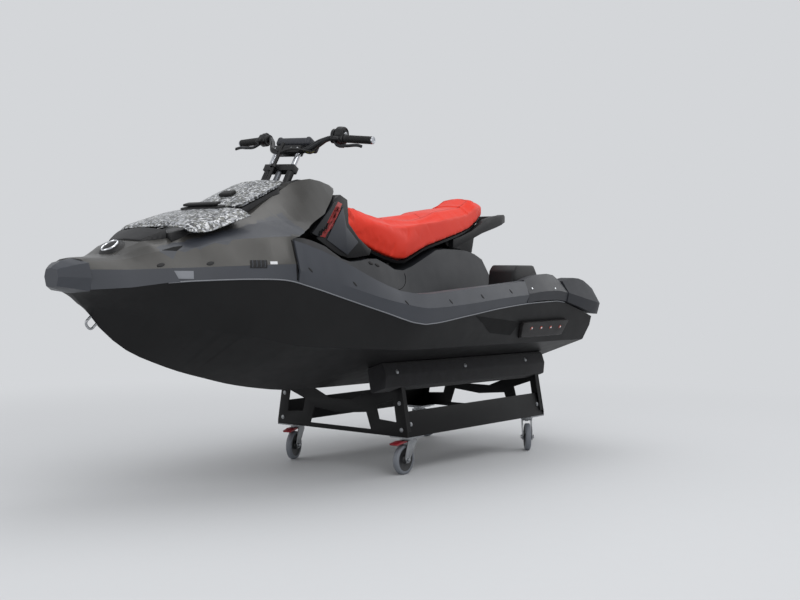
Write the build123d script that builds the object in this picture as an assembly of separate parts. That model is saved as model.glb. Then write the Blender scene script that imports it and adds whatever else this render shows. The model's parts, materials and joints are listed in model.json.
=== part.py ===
from build123d import *
import math
import os
from collections import namedtuple

# Units are millimetres. +X is the bow, +Y is port and +Z is up.
# The origin is on the floor under the middle of the craft's length.

# Craft
LENGTH = 2790.0
BEAM = 1180.0
HULL_WALL = 9.0
DECK_WALL = 6.0
PANEL_WALL = 5.0
SEAM = 0.3
RUNNING = 0.05
TRANSOM_X = -1240.0
CAP_REAR_X = 1318.0
SEAM_X = 640.0
SEAM_WIDTH = 2.0
RAIL_END_X = -640.0
CORNER_X = -975.0
RAIL_WALL = 8.0

# Pump and tunnel
PUMP_Z = 462.0
PUMP_BORE = 142.0
PUMP_WALL = 9.0
PUMP_FRONT_X = -965.0
PUMP_LENGTH = 190.0
TUNNEL_FRONT_X = -690.0
TUNNEL_WIDTH = 220.0
TUNNEL_ROOF_Z = 566.0
TUNNEL_WALL = 9.0
IMPELLER_TIP_GAP = 1.0
IMPELLER_HUB = 62.0
IMPELLER_LENGTH = 62.0
IMPELLER_BLADES = 3
SHAFT = 26.0
VENTURI_LENGTH = 55.0
SPOUT_LENGTH = 76.0
SPOUT_WALL = 5.0
VENTURI_MOUTH = 86.0
NOZZLE_PIVOT_X = -1268.0
NOZZLE_FRONT = 6.0
NOZZLE_LENGTH = 90.0
NOZZLE_MOUTH = 84.0
NOZZLE_WALL = 6.0
NOZZLE_GAP = 12.0
PIVOT_PIN = 12.0
GATE_PIVOT_X = -1220.0
GATE_HALF_WIDTH = 101.0
GATE_THICKNESS = 6.0
GATE_RADIUS = 158.0

# Engine
ENGINE_LENGTH = 420.0
ENGINE_WIDTH = 300.0
ENGINE_HEIGHT = 270.0
ENGINE_X = -330.0
ENGINE_Z = 430.0

# Steering
STEER_FOOT_X = 300.0
STEER_FOOT_Z = 1250.0
STEER_TILT = 31.0
STEER_REST = 4.0
RISER_SPACING = 120.0
RISER_TUBE = 22.0
RISER_WALL = 3.0
RISER_HEIGHT = 104.0
RISER_DEPTH = 90.0
SLEEVE_DEPTH = 108.0
SLEEVE_OUTER = 32.0
STEER_SWEEP = 30.0
SLOT_MARGIN = 5.0
HOOD_SLOT_MARGIN = 2.0
SLOT_REACH = 150.0
BAR_TUBE = 22.2
BAR_HALF_WIDTH = 355.0
GRIP = 32.0
GRIP_LENGTH = 128.0

# Dolly
DOLLY_FRONT_X = -62.0
DOLLY_REAR_X = -1085.0
DOLLY_HALF_WIDTH = 377.0
DOLLY_BASE_Z = 160.0
DOLLY_PLATE = 5.0
BUNK_WIDTH = 90.0
BUNK_THICKNESS = 66.0
BUNK_Y = 290.0
BUNK_FRONT_X = 48.0
BUNK_REAR_X = -1130.0
WHEEL = 125.0
WHEEL_WIDTH = 32.0
AXLE = 12.0
CASTER_TRAIL = 36.0
CASTER_INSET_X = 70.0
CASTER_INSET_Y = 52.0
CASTER_Y = DOLLY_HALF_WIDTH - CASTER_INSET_Y
FORK_PLATE = 3.0
FORK_GAP = 4.0
AXLE_END = 4.0
SWIVEL_TOP_Z = 148.0
SWIVEL_STEM = 16.0

# The station tables are drawn for a craft 1180 mm wide; their y columns follow BEAM
DRAWN_BEAM = 1180.0
STATION_STEP = 60.0
LEAST_STEP = 18.0


def end_slope(gap, next_gap, slope, next_slope):
    """Slope of a fair line at its end, kept from overshooting."""
    found = ((2 * gap + next_gap) * slope - gap * next_slope) / (gap + next_gap)
    if found * slope <= 0:
        return 0.0
    return 3 * slope if slope * next_slope < 0 and abs(found) > 3 * abs(slope) else found


def fair_slopes(xs, values):
    """Slopes of a smooth line through points that neither overshoots nor ripples."""
    gaps = [b - a for a, b in zip(xs, xs[1:])]
    rises = [(b - a) / gap for a, b, gap in zip(values, values[1:], gaps)]
    slopes = [end_slope(gaps[0], gaps[1], rises[0], rises[1])]
    for i in range(1, len(gaps)):
        if rises[i - 1] * rises[i] <= 0:
            slopes.append(0.0)
        else:
            before, after = 2 * gaps[i] + gaps[i - 1], gaps[i] + 2 * gaps[i - 1]
            slopes.append((before + after) / (before / rises[i - 1] + after / rises[i]))
    return slopes + [end_slope(gaps[-1], gaps[-2], rises[-1], rises[-2])]


def fair_value(xs, values, slopes, x):
    """Height of the smooth line at x."""
    i = max(0, min(len(xs) - 2, sum(1 for known in xs if known <= x) - 1))
    gap = xs[i + 1] - xs[i]
    t = (x - xs[i]) / gap
    return ((1 + 2 * t) * (1 - t) ** 2 * values[i] + t * (1 - t) ** 2 * gap * slopes[i]
            + t * t * (3 - 2 * t) * values[i + 1] - t * t * (1 - t) * gap * slopes[i + 1])


def faired(table, *kept):
    """The table's shape at even stations, on smooth lines through its rows, ends and kept stations included."""
    kind = type(table[0])
    rows = sorted(table)
    xs = [row.x for row in rows]
    fixed = {xs[0], xs[-1], *kept}
    first = math.ceil(xs[0] / STATION_STEP)
    grid = [STATION_STEP * i for i in range(first, math.floor(xs[-1] / STATION_STEP) + 1)]
    stations = fixed | {x for x in grid if all(abs(x - known) > LEAST_STEP for known in fixed)}
    columns = []
    for name in kind._fields[1:]:
        scale = BEAM / DRAWN_BEAM if name.endswith("_y") else 1.0
        values = [scale * getattr(row, name) for row in rows]
        columns.append((values, fair_slopes(xs, values)))
    return [kind(x, *(fair_value(xs, values, slopes, x) for values, slopes in columns))
            for x in sorted(stations, reverse=True)]


HullStation = namedtuple("HullStation", "x keel_z chine_y chine_z side_y side_z joint_y joint_z")
HULL = faired([
    HullStation(1318, 784, 30, 786, 68, 789, 112, 794),
    HullStation(1288, 772, 34, 776, 74, 784, 128, 795),
    HullStation(1260, 727, 42, 742, 84, 768, 145, 796),
    HullStation(1194, 652, 60, 718, 116, 752, 184, 801),
    HullStation(1120, 594, 92, 702, 152, 744, 222, 811),
    HullStation(1063, 560, 124, 689, 186, 739, 253, 819),
    HullStation(950, 514, 190, 662, 255, 731, 308, 824),
    HullStation(830, 473, 262, 634, 322, 724, 361, 827),
    HullStation(700, 438, 335, 603, 385, 714, 415, 825),
    HullStation(600, 412, 390, 576, 430, 716, 450, 799),
    HullStation(440, 382, 432, 562, 474, 692, 494, 748),
    HullStation(284, 362, 462, 551, 510, 660, 530, 700),
    HullStation(54, 353, 492, 536, 547, 615, 568, 642),
    HullStation(-200, 349, 492, 532, 556, 620, 576, 665),
    HullStation(-451, 345, 492, 528, 558, 632, 578, 691),
    HullStation(-700, 341, 492, 524, 556, 638, 575, 706),
    HullStation(-913, 338, 492, 521, 550, 640, 565, 709),
    HullStation(-1040, 336, 492, 519, 545, 620, 556, 681),
    HullStation(-1240, 333, 492, 516, 530, 586, 540, 627),
])

# The hood shell, from the joint line up to the centre line
HoodStation = namedtuple("HoodStation", "x band_y band_z crease_y crease_z ledge_y ledge_z lip_y lip_z top_z")
HOOD = faired([
    HoodStation(1318, 106, 864, 86, 896, 60, 912, 30, 918, 920),
    HoodStation(1200, 170, 862, 128, 908, 85, 926, 45, 933, 935),
    HoodStation(1077, 238, 866, 190, 925, 150, 948, 105, 962, 968),
    HoodStation(1000, 276, 868, 222, 931, 172, 952, 140, 972, 984),
    HoodStation(850, 346, 874, 298, 966, 202, 988, 178, 1000, 1030),
    HoodStation(700, 408, 879, 366, 978, 214, 1018, 172, 1038, 1062),
    HoodStation(640, 432, 880, 402, 981, 220, 1032, 168, 1058, 1074),
    HoodStation(540, 430, 895, 404, 980, 246, 1046, 152, 1112, 1132),
    HoodStation(440, 400, 915, 372, 975, 262, 1040, 134, 1160, 1176),
    HoodStation(340, 340, 935, 318, 980, 256, 1048, 118, 1204, 1188),
    HoodStation(240, 280, 960, 262, 1000, 222, 1078, 112, 1222, 1194),
    HoodStation(140, 220, 1010, 206, 1060, 184, 1120, 108, 1208, 1200),
    HoodStation(60, 176, 1070, 168, 1100, 152, 1138, 100, 1176, 1190),
], SEAM_X)

# The deck moulding behind the hood: footwells and the pedestal
DeckStation = namedtuple("DeckStation", "x rim_y rim_z floor_y floor_z foot_y shoulder_y shoulder_z top_z")
DECK = faired([
    DeckStation(610, 380, 940, 360, 930, 310, 250, 958, 980),
    DeckStation(470, 405, 868, 388, 650, 290, 262, 980, 996),
    DeckStation(284, 450, 790, 432, 606, 240, 205, 960, 980),
    DeckStation(54, 500, 735, 478, 600, 236, 172, 886, 900),
    DeckStation(-100, 520, 740, 490, 600, 238, 160, 900, 914),
    DeckStation(-280, 530, 746, 496, 599, 240, 158, 846, 862),
    DeckStation(-430, 533, 756, 497, 600, 240, 156, 892, 906),
    DeckStation(-571, 532, 764, 496, 603, 236, 152, 942, 954),
    DeckStation(-740, 528, 768, 492, 608, 228, 148, 938, 956),
    DeckStation(-905, 518, 766, 482, 625, 216, 146, 892, 910),
    DeckStation(-985, 478, 752, 452, 640, 208, 185, 720, 726),
    DeckStation(-1060, 456, 740, 436, 650, 204, 186, 666, 666),
    DeckStation(-1228, 440, 690, 426, 658, 202, 186, 666, 666),
])

# The seat: half width and height of its lower edge, the crown and the top
SeatStation = namedtuple("SeatStation", "x edge_y edge_z side_y side_z top_y top_z")
SEAT = faired([
    SeatStation(38, 98, 1040, 95, 1052, 60, 1062),
    SeatStation(0, 122, 1002, 118, 1060, 80, 1088),
    SeatStation(-60, 140, 962, 135, 1066, 92, 1111),
    SeatStation(-120, 155, 930, 149, 1058, 98, 1112),
    SeatStation(-200, 168, 903, 162, 1042, 104, 1100),
    SeatStation(-280, 174, 888, 168, 1034, 106, 1094),
    SeatStation(-350, 174, 910, 167, 1046, 106, 1102),
    SeatStation(-450, 168, 948, 161, 1066, 104, 1118),
    SeatStation(-571, 158, 976, 152, 1078, 100, 1124),
    SeatStation(-700, 148, 1006, 142, 1092, 94, 1130),
    SeatStation(-765, 141, 1022, 136, 1102, 90, 1136),
    SeatStation(-850, 130, 1048, 126, 1120, 84, 1152),
    SeatStation(-905, 120, 1078, 116, 1150, 78, 1186),
    SeatStation(-945, 108, 1098, 105, 1160, 70, 1192),
    SeatStation(-975, 92, 1112, 90, 1156, 58, 1180),
])


def between(table, x, column):
    """Value of one column of a station table at x, on the straight line between stations."""
    rows = sorted(table)
    if x <= rows[0].x:
        return getattr(rows[0], column)
    for low, high in zip(rows, rows[1:]):
        if x <= high.x:
            share = (x - low.x) / (high.x - low.x)
            return getattr(low, column) + share * (getattr(high, column) - getattr(low, column))
    return getattr(rows[-1], column)


def bottom_z(x, y):
    """Height of the hull's V bottom at x and y."""
    keel, chine_z = between(HULL, x, "keel_z"), between(HULL, x, "chine_z")
    return keel + (chine_z - keel) * abs(y) / between(HULL, x, "chine_y")


def bottom_slope(x):
    keel, chine_z = between(HULL, x, "keel_z"), between(HULL, x, "chine_z")
    return math.atan2(chine_z - keel, between(HULL, x, "chine_y"))


def sub_stations(table, front, rear):
    """The rows of a table between two x values, with rows made at both ends."""
    kind = type(table[0])
    xs = [front] + [row.x for row in table if rear < row.x < front] + [rear]
    return [kind(x, *(between(table, x, column) for column in kind._fields[1:])) for x in xs]


def merged(table, *others):
    """The rows of a table, with rows made at the stations of other tables between them."""
    kind = type(table[0])
    low, high = min(row.x for row in table), max(row.x for row in table)
    xs = {row.x for row in table} | {row.x for other in others for row in other if low < row.x < high}
    return [kind(x, *(between(table, x, column) for column in kind._fields[1:])) for x in sorted(xs, reverse=True)]


def offset_path(points, distance, flat=(False, False)):
    """An open path of (y, z) points moved to the right of its direction.

    A flat end keeps its height, so that the wall ends in a level edge.
    """
    moved = []
    last = len(points) - 1
    for i, (y, z) in enumerate(points):
        normals = []
        for j in (i - 1, i):
            if 0 <= j < last:
                dy, dz = points[j + 1][0] - points[j][0], points[j + 1][1] - points[j][1]
                size = math.hypot(dy, dz)
                normals.append((dz / size, -dy / size))
        ny = sum(n[0] for n in normals) / len(normals)
        nz = sum(n[1] for n in normals) / len(normals)
        if (i == 0 and flat[0]) or (i == last and flat[1]):
            moved.append((y + distance / ny, z))
        else:
            square = ny * ny + nz * nz
            moved.append((y + distance * ny / square, z + distance * nz / square))
    return moved


def mirrored(points):
    """A path from port to the centre line, carried on to starboard."""
    return points + [(-y, z) for y, z in reversed(points) if y > 0]


def loft_outlines(outlines):
    """A solid through closed outlines of (x, points)."""
    wires = [Wire.make_polygon([Vector(x, y, z) for y, z in points], close=True) for x, points in outlines]
    return Solid.make_loft(wires, True)


def skin(paths, wall, flat=(False, False)):
    """A wall of even thickness beside open paths of (x, points)."""
    return loft_outlines([(x, points + offset_path(points, wall, flat)[::-1]) for x, points in paths])


def block(x0, x1, y0, y1, z0, z1):
    return Pos((x0 + x1) / 2, (y0 + y1) / 2, (z0 + z1) / 2) * Box(abs(x1 - x0), abs(y1 - y0), abs(z1 - z0))


def plate_yz(points, x, thickness):
    """A plate cut to a (y, z) outline, from x towards the stern."""
    face = make_face(Polyline([(x, y, z) for y, z in points], close=True))
    return extrude(face, thickness, dir=(-1, 0, 0))


def plate_xz(points, y, thickness):
    """A plate cut to an (x, z) outline, from y towards starboard."""
    face = make_face(Polyline([(x, y, z) for x, z in points], close=True))
    return extrude(face, thickness, dir=(0, -1, 0))


def tube_x(x0, x1, y, z, outer, inner=0.0):
    """A round bar or tube along X."""
    middle = (x0 + x1) / 2
    body = Pos(middle, y, z) * Rot(0, 90, 0) * Cylinder(outer / 2, abs(x1 - x0))
    if inner:
        body -= Pos(middle, y, z) * Rot(0, 90, 0) * Cylinder(inner / 2, abs(x1 - x0) + 2)
    return body


def pair(body):
    """A piece and its mirror image across the centre line."""
    return [body, mirror(body, about=Plane.XZ)]


# Hull

def hull_path(row):
    return mirrored([(row.joint_y, row.joint_z), (row.side_y, row.side_z), (row.chine_y, row.chine_z),
                     (0, row.keel_z)])


def make_hull():
    paths = [(row.x, hull_path(row)) for row in HULL]
    shell = skin(paths, HULL_WALL, (True, True))
    rear = HULL[-1]
    inner = offset_path(hull_path(rear), HULL_WALL / 2)
    transom = plate_yz(inner, TRANSOM_X + HULL_WALL, HULL_WALL)
    shell = shell + transom
    half = TUNNEL_WIDTH / 2
    low = rear.keel_z - 20
    walls = block(TUNNEL_FRONT_X + TUNNEL_WALL, TRANSOM_X, -half - TUNNEL_WALL, half + TUNNEL_WALL,
                  low, TUNNEL_ROOF_Z + TUNNEL_WALL)
    walls &= loft_outlines(paths)
    space = block(TUNNEL_FRONT_X, TRANSOM_X - 5, -half, half, low, TUNNEL_ROOF_Z)
    shaft_hole = tube_x(TUNNEL_FRONT_X - 20, TUNNEL_FRONT_X + 30, 0, PUMP_Z, SHAFT + 2)
    return shell + walls - space - shaft_hole


# Bow cap: a solid rubber-faced nose with two wings along the sides

CapStation = namedtuple("CapStation", "x low_y low_z mid_y mid_z high_y high_z top_z keel_z")
CAP = faired([
    CapStation(1395, 30, 806, 40, 838, 32, 864, 874, 800),
    CapStation(1375, 58, 796, 68, 836, 56, 878, 896, 790),
    CapStation(1345, 88, 790, 98, 834, 84, 890, 914, 784),
    CapStation(CAP_REAR_X + SEAM, 112, 789, 122, 834, 106, 894, 923, 780),
])
WING_THICKNESS = 6.0
WING_GAP = 1.2
WING_REAR_X = 1000.0
WING_REAR_TOP_X = 1085.0


def make_bow_cap():
    body = loft_outlines([(row.x, cap_outline(row)) for row in CAP])
    outlines = []
    for x in (CAP_REAR_X + SEAM, 1200.0, 1085.0, WING_REAR_X):
        joint_y, joint_z = between(HULL, x, "joint_y"), between(HULL, x, "joint_z")
        band_y, band_z = between(HOOD, x, "band_y"), between(HOOD, x, "band_z")
        outlines.append((x, [(joint_y + WING_GAP, joint_z), (joint_y + WING_THICKNESS, joint_z),
                             (band_y + WING_THICKNESS, band_z), (band_y + WING_GAP, band_z)]))
    wing = loft_outlines(outlines)
    wing -= plate_xz([(WING_REAR_TOP_X, 900), (WING_REAR_X - 50, 900), (WING_REAR_X - 50, 700), (WING_REAR_X, 700)],
                     BEAM, BEAM)
    for side in pair(wing):
        body += side
    return body


def cap_outline(row):
    half = [(row.high_y, row.high_z), (row.mid_y, row.mid_z), (row.low_y, row.low_z)]
    return [(0, row.top_z)] + half + [(0, row.keel_z)] + [(-y, z) for y, z in reversed(half)]


# Hood

def hood_path(row):
    joint = (between(HULL, row.x, "joint_y"), between(HULL, row.x, "joint_z") + SEAM)
    if row.x < SEAM_X:
        joint = (row.band_y - 1, row.band_z - 12)
    return mirrored([joint, (row.band_y, row.band_z), (row.crease_y, row.crease_z), (row.ledge_y, row.ledge_z),
                     (row.lip_y, row.lip_z), (0, row.top_z)])


HOOD_REAR_EDGE = [(96, 1188), (147, 1157), (273, 1078), (442, 1017), (SEAM_X - 1, 972)]
BIN_FRONT_X = 965.0
BIN_REAR_X = 705.0
BIN_HALF_WIDTH = 125.0
GLOVE_FRONT_X = 640.0
GLOVE_REAR_X = 425.0
GLOVE_HALF_WIDTH = 105.0
OPENING_LOW_Z = 900.0
OPENING_HIGH_Z = 1400.0


def opening_block(front, rear, half):
    return block(rear, front, -half, half, OPENING_LOW_Z, OPENING_HIGH_Z)


def steer_plane():
    tilt = math.radians(STEER_TILT)
    return Plane(origin=(STEER_FOOT_X, 0, STEER_FOOT_Z), x_dir=(math.cos(tilt), 0, math.sin(tilt)),
                 z_dir=(-math.sin(tilt), 0, math.cos(tilt)))


def steer_slots(margin):
    """Openings about the tilted axis for the stem, the sleeves and the cables as the bars turn."""
    sketch = Circle(HEAD_STEM / 2 + margin)
    cable_angle = math.degrees(math.atan2(CABLE_Y, CABLE_X))
    for middle, radius, width in ((90, RISER_SPACING / 2, SLEEVE_OUTER), (-90, RISER_SPACING / 2, SLEEVE_OUTER),
                                  (cable_angle, math.hypot(CABLE_X, CABLE_Y), CABLE)):
        arc = CenterArc((0, 0), radius, middle - STEER_SWEEP, 2 * STEER_SWEEP)
        sketch += SlotArc(arc, width + 2 * margin)
    return steer_plane().location * extrude(sketch, SLOT_REACH, both=True)


def make_hood():
    front = [(row.x, hood_path(row)) for row in merged(HOOD, HULL) if row.x >= SEAM_X]
    shell = skin(front, -PANEL_WALL, (True, True))
    rear_rows = [row for row in HOOD if row.x <= SEAM_X]
    rear = [(row.x, mirrored([(row.band_y, row.band_z), (row.crease_y, row.crease_z), (row.ledge_y, row.ledge_z),
                              (row.lip_y, row.lip_z), (0, row.top_z)])) for row in rear_rows]
    shell = shell + skin(rear, -PANEL_WALL)
    shell = shell - opening_block(BIN_FRONT_X, BIN_REAR_X, BIN_HALF_WIDTH)
    shell = shell - opening_block(GLOVE_FRONT_X, GLOVE_REAR_X, GLOVE_HALF_WIDTH)
    shell = shell - steer_slots(SLOT_MARGIN + HOOD_SLOT_MARGIN)
    return shell - plate_xz(HOOD_REAR_EDGE + [(SEAM_X - 1, 850), (0, 850), (0, 1190)], BEAM / 2, BEAM)


# Deck moulding behind the hood

def deck_path(row):
    return mirrored([(row.rim_y, row.rim_z), (row.floor_y, row.floor_z), (row.foot_y, row.floor_z),
                     (row.shoulder_y, row.shoulder_z), (0, row.top_z)])


def make_deck():
    return skin([(row.x, deck_path(row)) for row in DECK], -DECK_WALL, (True, True))


# Side rails behind the hood seam: a folded skin with an open underside

RailStation = namedtuple("RailStation", "x bulge_y bulge_z edge_y edge_z")
RAIL = faired([
    RailStation(SEAM_X - SEAM_WIDTH, 446, 856, 416, 966),
    RailStation(540, 474, 828, 452, 932),
    RailStation(440, 504, 796, 482, 888),
    RailStation(284, 544, 748, 522, 812),
    RailStation(165, 564, 722, 542, 772),
    RailStation(54, 582, 704, 560, 760),
    RailStation(-167, 588, 712, 568, 772),
    RailStation(-450, 590, 732, 568, 788),
    RailStation(RAIL_END_X, 590, 742, 566, 800),
])


def make_rail():
    paths = []
    for row in merged(RAIL, HULL, DECK):
        joint = (between(HULL, row.x, "joint_y") + SEAM, between(HULL, row.x, "joint_z") + SEAM)
        rim = (between(DECK, row.x, "rim_y"), between(DECK, row.x, "rim_z") + SEAM)
        if row.x > DECK[0].x:
            rim = (row.edge_y - 44, row.edge_z - 6)
        paths.append((row.x, [joint, (row.bulge_y, row.bulge_z), (row.edge_y, row.edge_z),
                              (row.edge_y - 40, row.edge_z + 2), rim]))
    return skin(paths, -RAIL_WALL, (True, True))


# Rear side pieces and corner bumpers

QuarterStation = namedtuple("QuarterStation", "x low_y low_z bulge_y bulge_z top_y top_z in_y in_z")
SIDE_CAP = faired([
    QuarterStation(RAIL_END_X - SEAM, 580, 706, 590, 746, 560, 806, 516, 800),
    QuarterStation(-720, 579, 712, 590, 752, 556, 822, 511, 818),
    QuarterStation(-820, 576, 714, 588, 756, 548, 832, 502, 828),
    QuarterStation(-930, 571, 712, 582, 752, 541, 818, 496, 812),
    QuarterStation(CORNER_X + SEAM, 570, 704, 578, 744, 538, 790, 494, 786),
])
CORNER = faired([
    QuarterStation(CORNER_X - SEAM, 574, 702, 582, 744, 546, 796, 492, 796),
    QuarterStation(-1090, 566, 676, 578, 722, 536, 810, 470, 810),
    QuarterStation(-1190, 556, 652, 570, 704, 522, 798, 458, 798),
    QuarterStation(-1242, 546, 640, 562, 696, 514, 780, 452, 780),
    QuarterStation(-1300, 530, 634, 545, 688, 500, 764, 446, 764),
    QuarterStation(-1375, 500, 636, 515, 680, 478, 724, 436, 724),
    QuarterStation(-LENGTH / 2, 470, 642, 480, 674, 455, 706, 432, 706),
])


def make_side_cap():
    paths = [(row.x, [(row.low_y, row.low_z), (row.bulge_y, row.bulge_z), (row.top_y, row.top_z),
                      (row.in_y, row.in_z)]) for row in SIDE_CAP]
    return skin(paths, -RAIL_WALL, (True, False))


def make_corner():
    outlines = [(row.x, [(row.low_y, row.low_z), (row.bulge_y, row.bulge_z), (row.top_y, row.top_z),
                         (row.in_y, row.in_z), (row.in_y, row.low_z + 3)]) for row in CORNER]
    return loft_outlines(outlines)


# Seat cushion and its black pan

PAN_THICKNESS = 12.0
PAN_INSET = 8.0
PAN_TAPER = 6.0
PAN_RIDGE = 4.0
SEAT_REST = 18.0
SEAT_REST_X = (-300.0, -600.0)
SEAT_REST_Y = 60.0


def seat_outline(row):
    half = [(row.top_y, row.top_z - 6), (row.side_y, row.side_z), (row.edge_y, row.edge_z)]
    under = (0, row.edge_z + PAN_RIDGE)
    return [(0, row.top_z)] + half + [under] + [(-y, z) for y, z in reversed(half)]


def make_seat():
    return loft_outlines([(row.x, seat_outline(row)) for row in SEAT])


def make_seat_pan():
    outlines = []
    for row in SEAT:
        y, z = row.edge_y - PAN_INSET, row.edge_z - SEAM
        low = z - PAN_THICKNESS
        outlines.append((row.x, [(0, z + PAN_RIDGE), (y, z), (y - PAN_TAPER, low), (0, low + PAN_RIDGE),
                                 (PAN_TAPER - y, low), (-y, z)]))
    body = loft_outlines(outlines)
    for x in SEAT_REST_X:
        low = max(deck_top_z(x + dx, SEAT_REST_Y - SEAT_REST / 2) for dx in (-SEAT_REST / 2, SEAT_REST / 2)) + SEAM
        for y in (-SEAT_REST_Y, SEAT_REST_Y):
            body += block(x - SEAT_REST / 2, x + SEAT_REST / 2, y - SEAT_REST / 2, y + SEAT_REST / 2,
                          low, between(SEAT, x, "edge_z") - PAN_THICKNESS / 2)
    return body


def deck_top_z(x, y):
    """Height of the pedestal's top between its ridge and its shoulder."""
    top, shoulder = between(DECK, x, "top_z"), between(DECK, x, "shoulder_z")
    return top + (shoulder - top) * abs(y) / between(DECK, x, "shoulder_y")


def pan_under_z(x, y):
    """Height of the seat pan's underside."""
    middle = between(SEAT, x, "edge_z") - SEAM - PAN_THICKNESS + PAN_RIDGE
    return middle - PAN_RIDGE * abs(y) / (between(SEAT, x, "edge_y") - PAN_INSET - PAN_TAPER)


# Lids, bins and the trim on the hood

LID_LIFT = 26.0


# x runs from 0 at a lid's front to 1 at its rear
LidStation = namedtuple("LidStation", "x half fall depth")
LID = [LidStation(0.0, 0.86, 7, 0.75), LidStation(0.1, 0.96, 0, 1.0), LidStation(0.55, 1.0, 0, 1.0),
       LidStation(0.9, 0.93, 0, 1.0), LidStation(1.0, 0.84, 8, 1.0)]
LidPlace = namedtuple("LidPlace", "front rear front_z rear_z half hinge_x hinge_z hinge_half")
FRONT_LID = LidPlace(977, 686, 1022, 1096, 176, 977, 1003, 70)
GLOVE_LID = LidPlace(662, 402, 1112, 1222, 146, 402, 1190, 34)


def lid_solid(place):
    """A crowned lid on the sloping hood, with its hinge barrel resting on the hood."""
    outlines = []
    for row in LID:
        x = place.front + row.x * (place.rear - place.front)
        z = place.front_z + row.x * (place.rear_z - place.front_z)
        half = place.half * row.half
        low = z - LID_LIFT * row.depth
        z -= row.fall
        side = [(0.6 * half, z - 4), (half, 0.45 * z + 0.55 * low), (0.97 * half, low)]
        outlines.append((x, [(0, z)] + side + [(0, low)] + [(-y, pz) for y, pz in reversed(side)]))
    body = loft_outlines(outlines)
    rise = between(HOOD, place.hinge_x - 10, "top_z") - between(HOOD, place.hinge_x + 10, "top_z")
    clear = place.hinge_z - between(HOOD, place.hinge_x, "top_z")
    radius = clear * math.cos(math.atan2(rise, 20)) - SEAM
    barrel = Pos(place.hinge_x, 0, place.hinge_z) * Rot(90, 0, 0) * Cylinder(radius, 2 * place.hinge_half)
    return body + barrel


def make_latch(lid, x, half, length, height):
    """A handle standing on the sloping top of a lid, centred at x."""
    slope = (lid.rear_z - lid.front_z) / (lid.rear - lid.front)
    points = [(x + length / 2, 0), (x + length / 2 - 8, height), (x - length / 2 + 4, height), (x - length / 2, 0)]
    return plate_xz([(px, lid.front_z + (px - lid.front) * slope + pz + SEAM) for px, pz in points], half, 2 * half)


FRAME_GAP = 5.0
FRAME_SEAT = 1.2
FRAME_WIDTH = 34.0
STEP_EDGE = 4.0
FrameRow = namedtuple("FrameRow", "lid front rear inner")
FRAMES = [FrameRow(FRONT_LID, 1003, 700, 128), FrameRow(GLOVE_LID, 655, 440, 108)]
StepRow = namedtuple("StepRow", "x half rise")
STEP = [StepRow(1084, 92, 6), StepRow(1060, 108, 14), StepRow(1030, 126, 24), StepRow(1004, 137, 31)]


def lid_under_z(place, x):
    """Height of a closed lid's underside at x."""
    share = (x - place.front) / (place.rear - place.front)
    return place.front_z + share * (place.rear_z - place.front_z) - LID_LIFT * between(LID, share, "depth")


def hood_top_z(x, y):
    """Height of the hood's top between its middle line and its lip, and on the slope outside the lip."""
    lip_y, lip_z = between(HOOD, x, "lip_y"), between(HOOD, x, "lip_z")
    top, ledge_y, ledge_z = between(HOOD, x, "top_z"), between(HOOD, x, "ledge_y"), between(HOOD, x, "ledge_z")
    if y <= lip_y:
        return top + (lip_z - top) * y / lip_y
    return lip_z + (ledge_z - lip_z) * (y - lip_y) / (ledge_y - lip_y)


def halved(xs):
    """The stations with one more in the middle of each gap."""
    return sorted(xs + [(a + b) / 2 for a, b in zip(xs, xs[1:])], reverse=True)


def frame_rail(row):
    """A raised rail on the hood under the port edge of a lid, clear of its underside."""
    outlines = []
    outer = row.inner + FRAME_WIDTH
    for x in halved([station.x for station in sub_stations(HOOD, row.front, row.rear)]):
        lip_y = between(HOOD, x, "lip_y")
        middle = min(max(lip_y, row.inner + STEP_EDGE), outer - STEP_EDGE)
        under = [(y, hood_top_z(x, y) + FRAME_SEAT) for y in (row.inner, middle, outer)]
        top = lid_under_z(row.lid, x) - FRAME_GAP
        outlines.append((x, under + [(outer - STEP_EDGE, top), (row.inner, top)]))
    return loft_outlines(outlines)


def make_step():
    """Raised step on the hood in front of the lower lid."""
    outlines = []
    for x in halved(halved([station.x for station in sub_stations(HOOD, STEP[0].x, STEP[-1].x)])):
        half, rise = between(STEP, x, "half"), between(STEP, x, "rise")
        side = [(half, hood_top_z(x, half) + SEAM), (half - STEP_EDGE, hood_top_z(x, half) + rise)]
        outlines.append((x, [(0, hood_top_z(x, 0) + SEAM)] + side + [(0, hood_top_z(x, 0) + rise)]
                         + [(-y, z) for y, z in reversed(side)]))
    return loft_outlines(outlines)


TUB_WALL = 3.0
BIN_TOP_Z = 985.0
BIN_FLOOR_Z = 860.0
GLOVE_TOP_Z = 1080.0
GLOVE_FLOOR_Z = 1000.0


def make_tub(front, rear, half, top_z, floor_z):
    outer = block(rear + SEAM, front - SEAM, SEAM - half, half - SEAM, floor_z, top_z)
    wall = TUB_WALL + SEAM
    inner = block(rear + wall, front - wall, wall - half, half - wall, floor_z + TUB_WALL, top_z + TUB_WALL)
    return outer - inner


# Fairing between the hood and the seat, with its coloured strips

SHROUD_HALF_WIDTH = 162.0
SHROUD = [(262, 985), (150, 1140), (110, 1162), (66, 1142), (58, 1044)]
SHROUD_PAN_X = (37.0, -85.0)
SHROUD_FEET = (150.0, -72.0)
ACCENT = [(134, 1134), (102, 1124), (206, 984), (244, 989)]
TRIM = [(160, 1128), (138, 1134), (250, 984), (296, 1000)]
KNEE_PANEL = [(98, 1112), (76, 1030), (2, 968), (72, 914), (196, 976)]
STRIP_THICKNESS = 4.0
TRIM_STAND = 16.0


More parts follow.
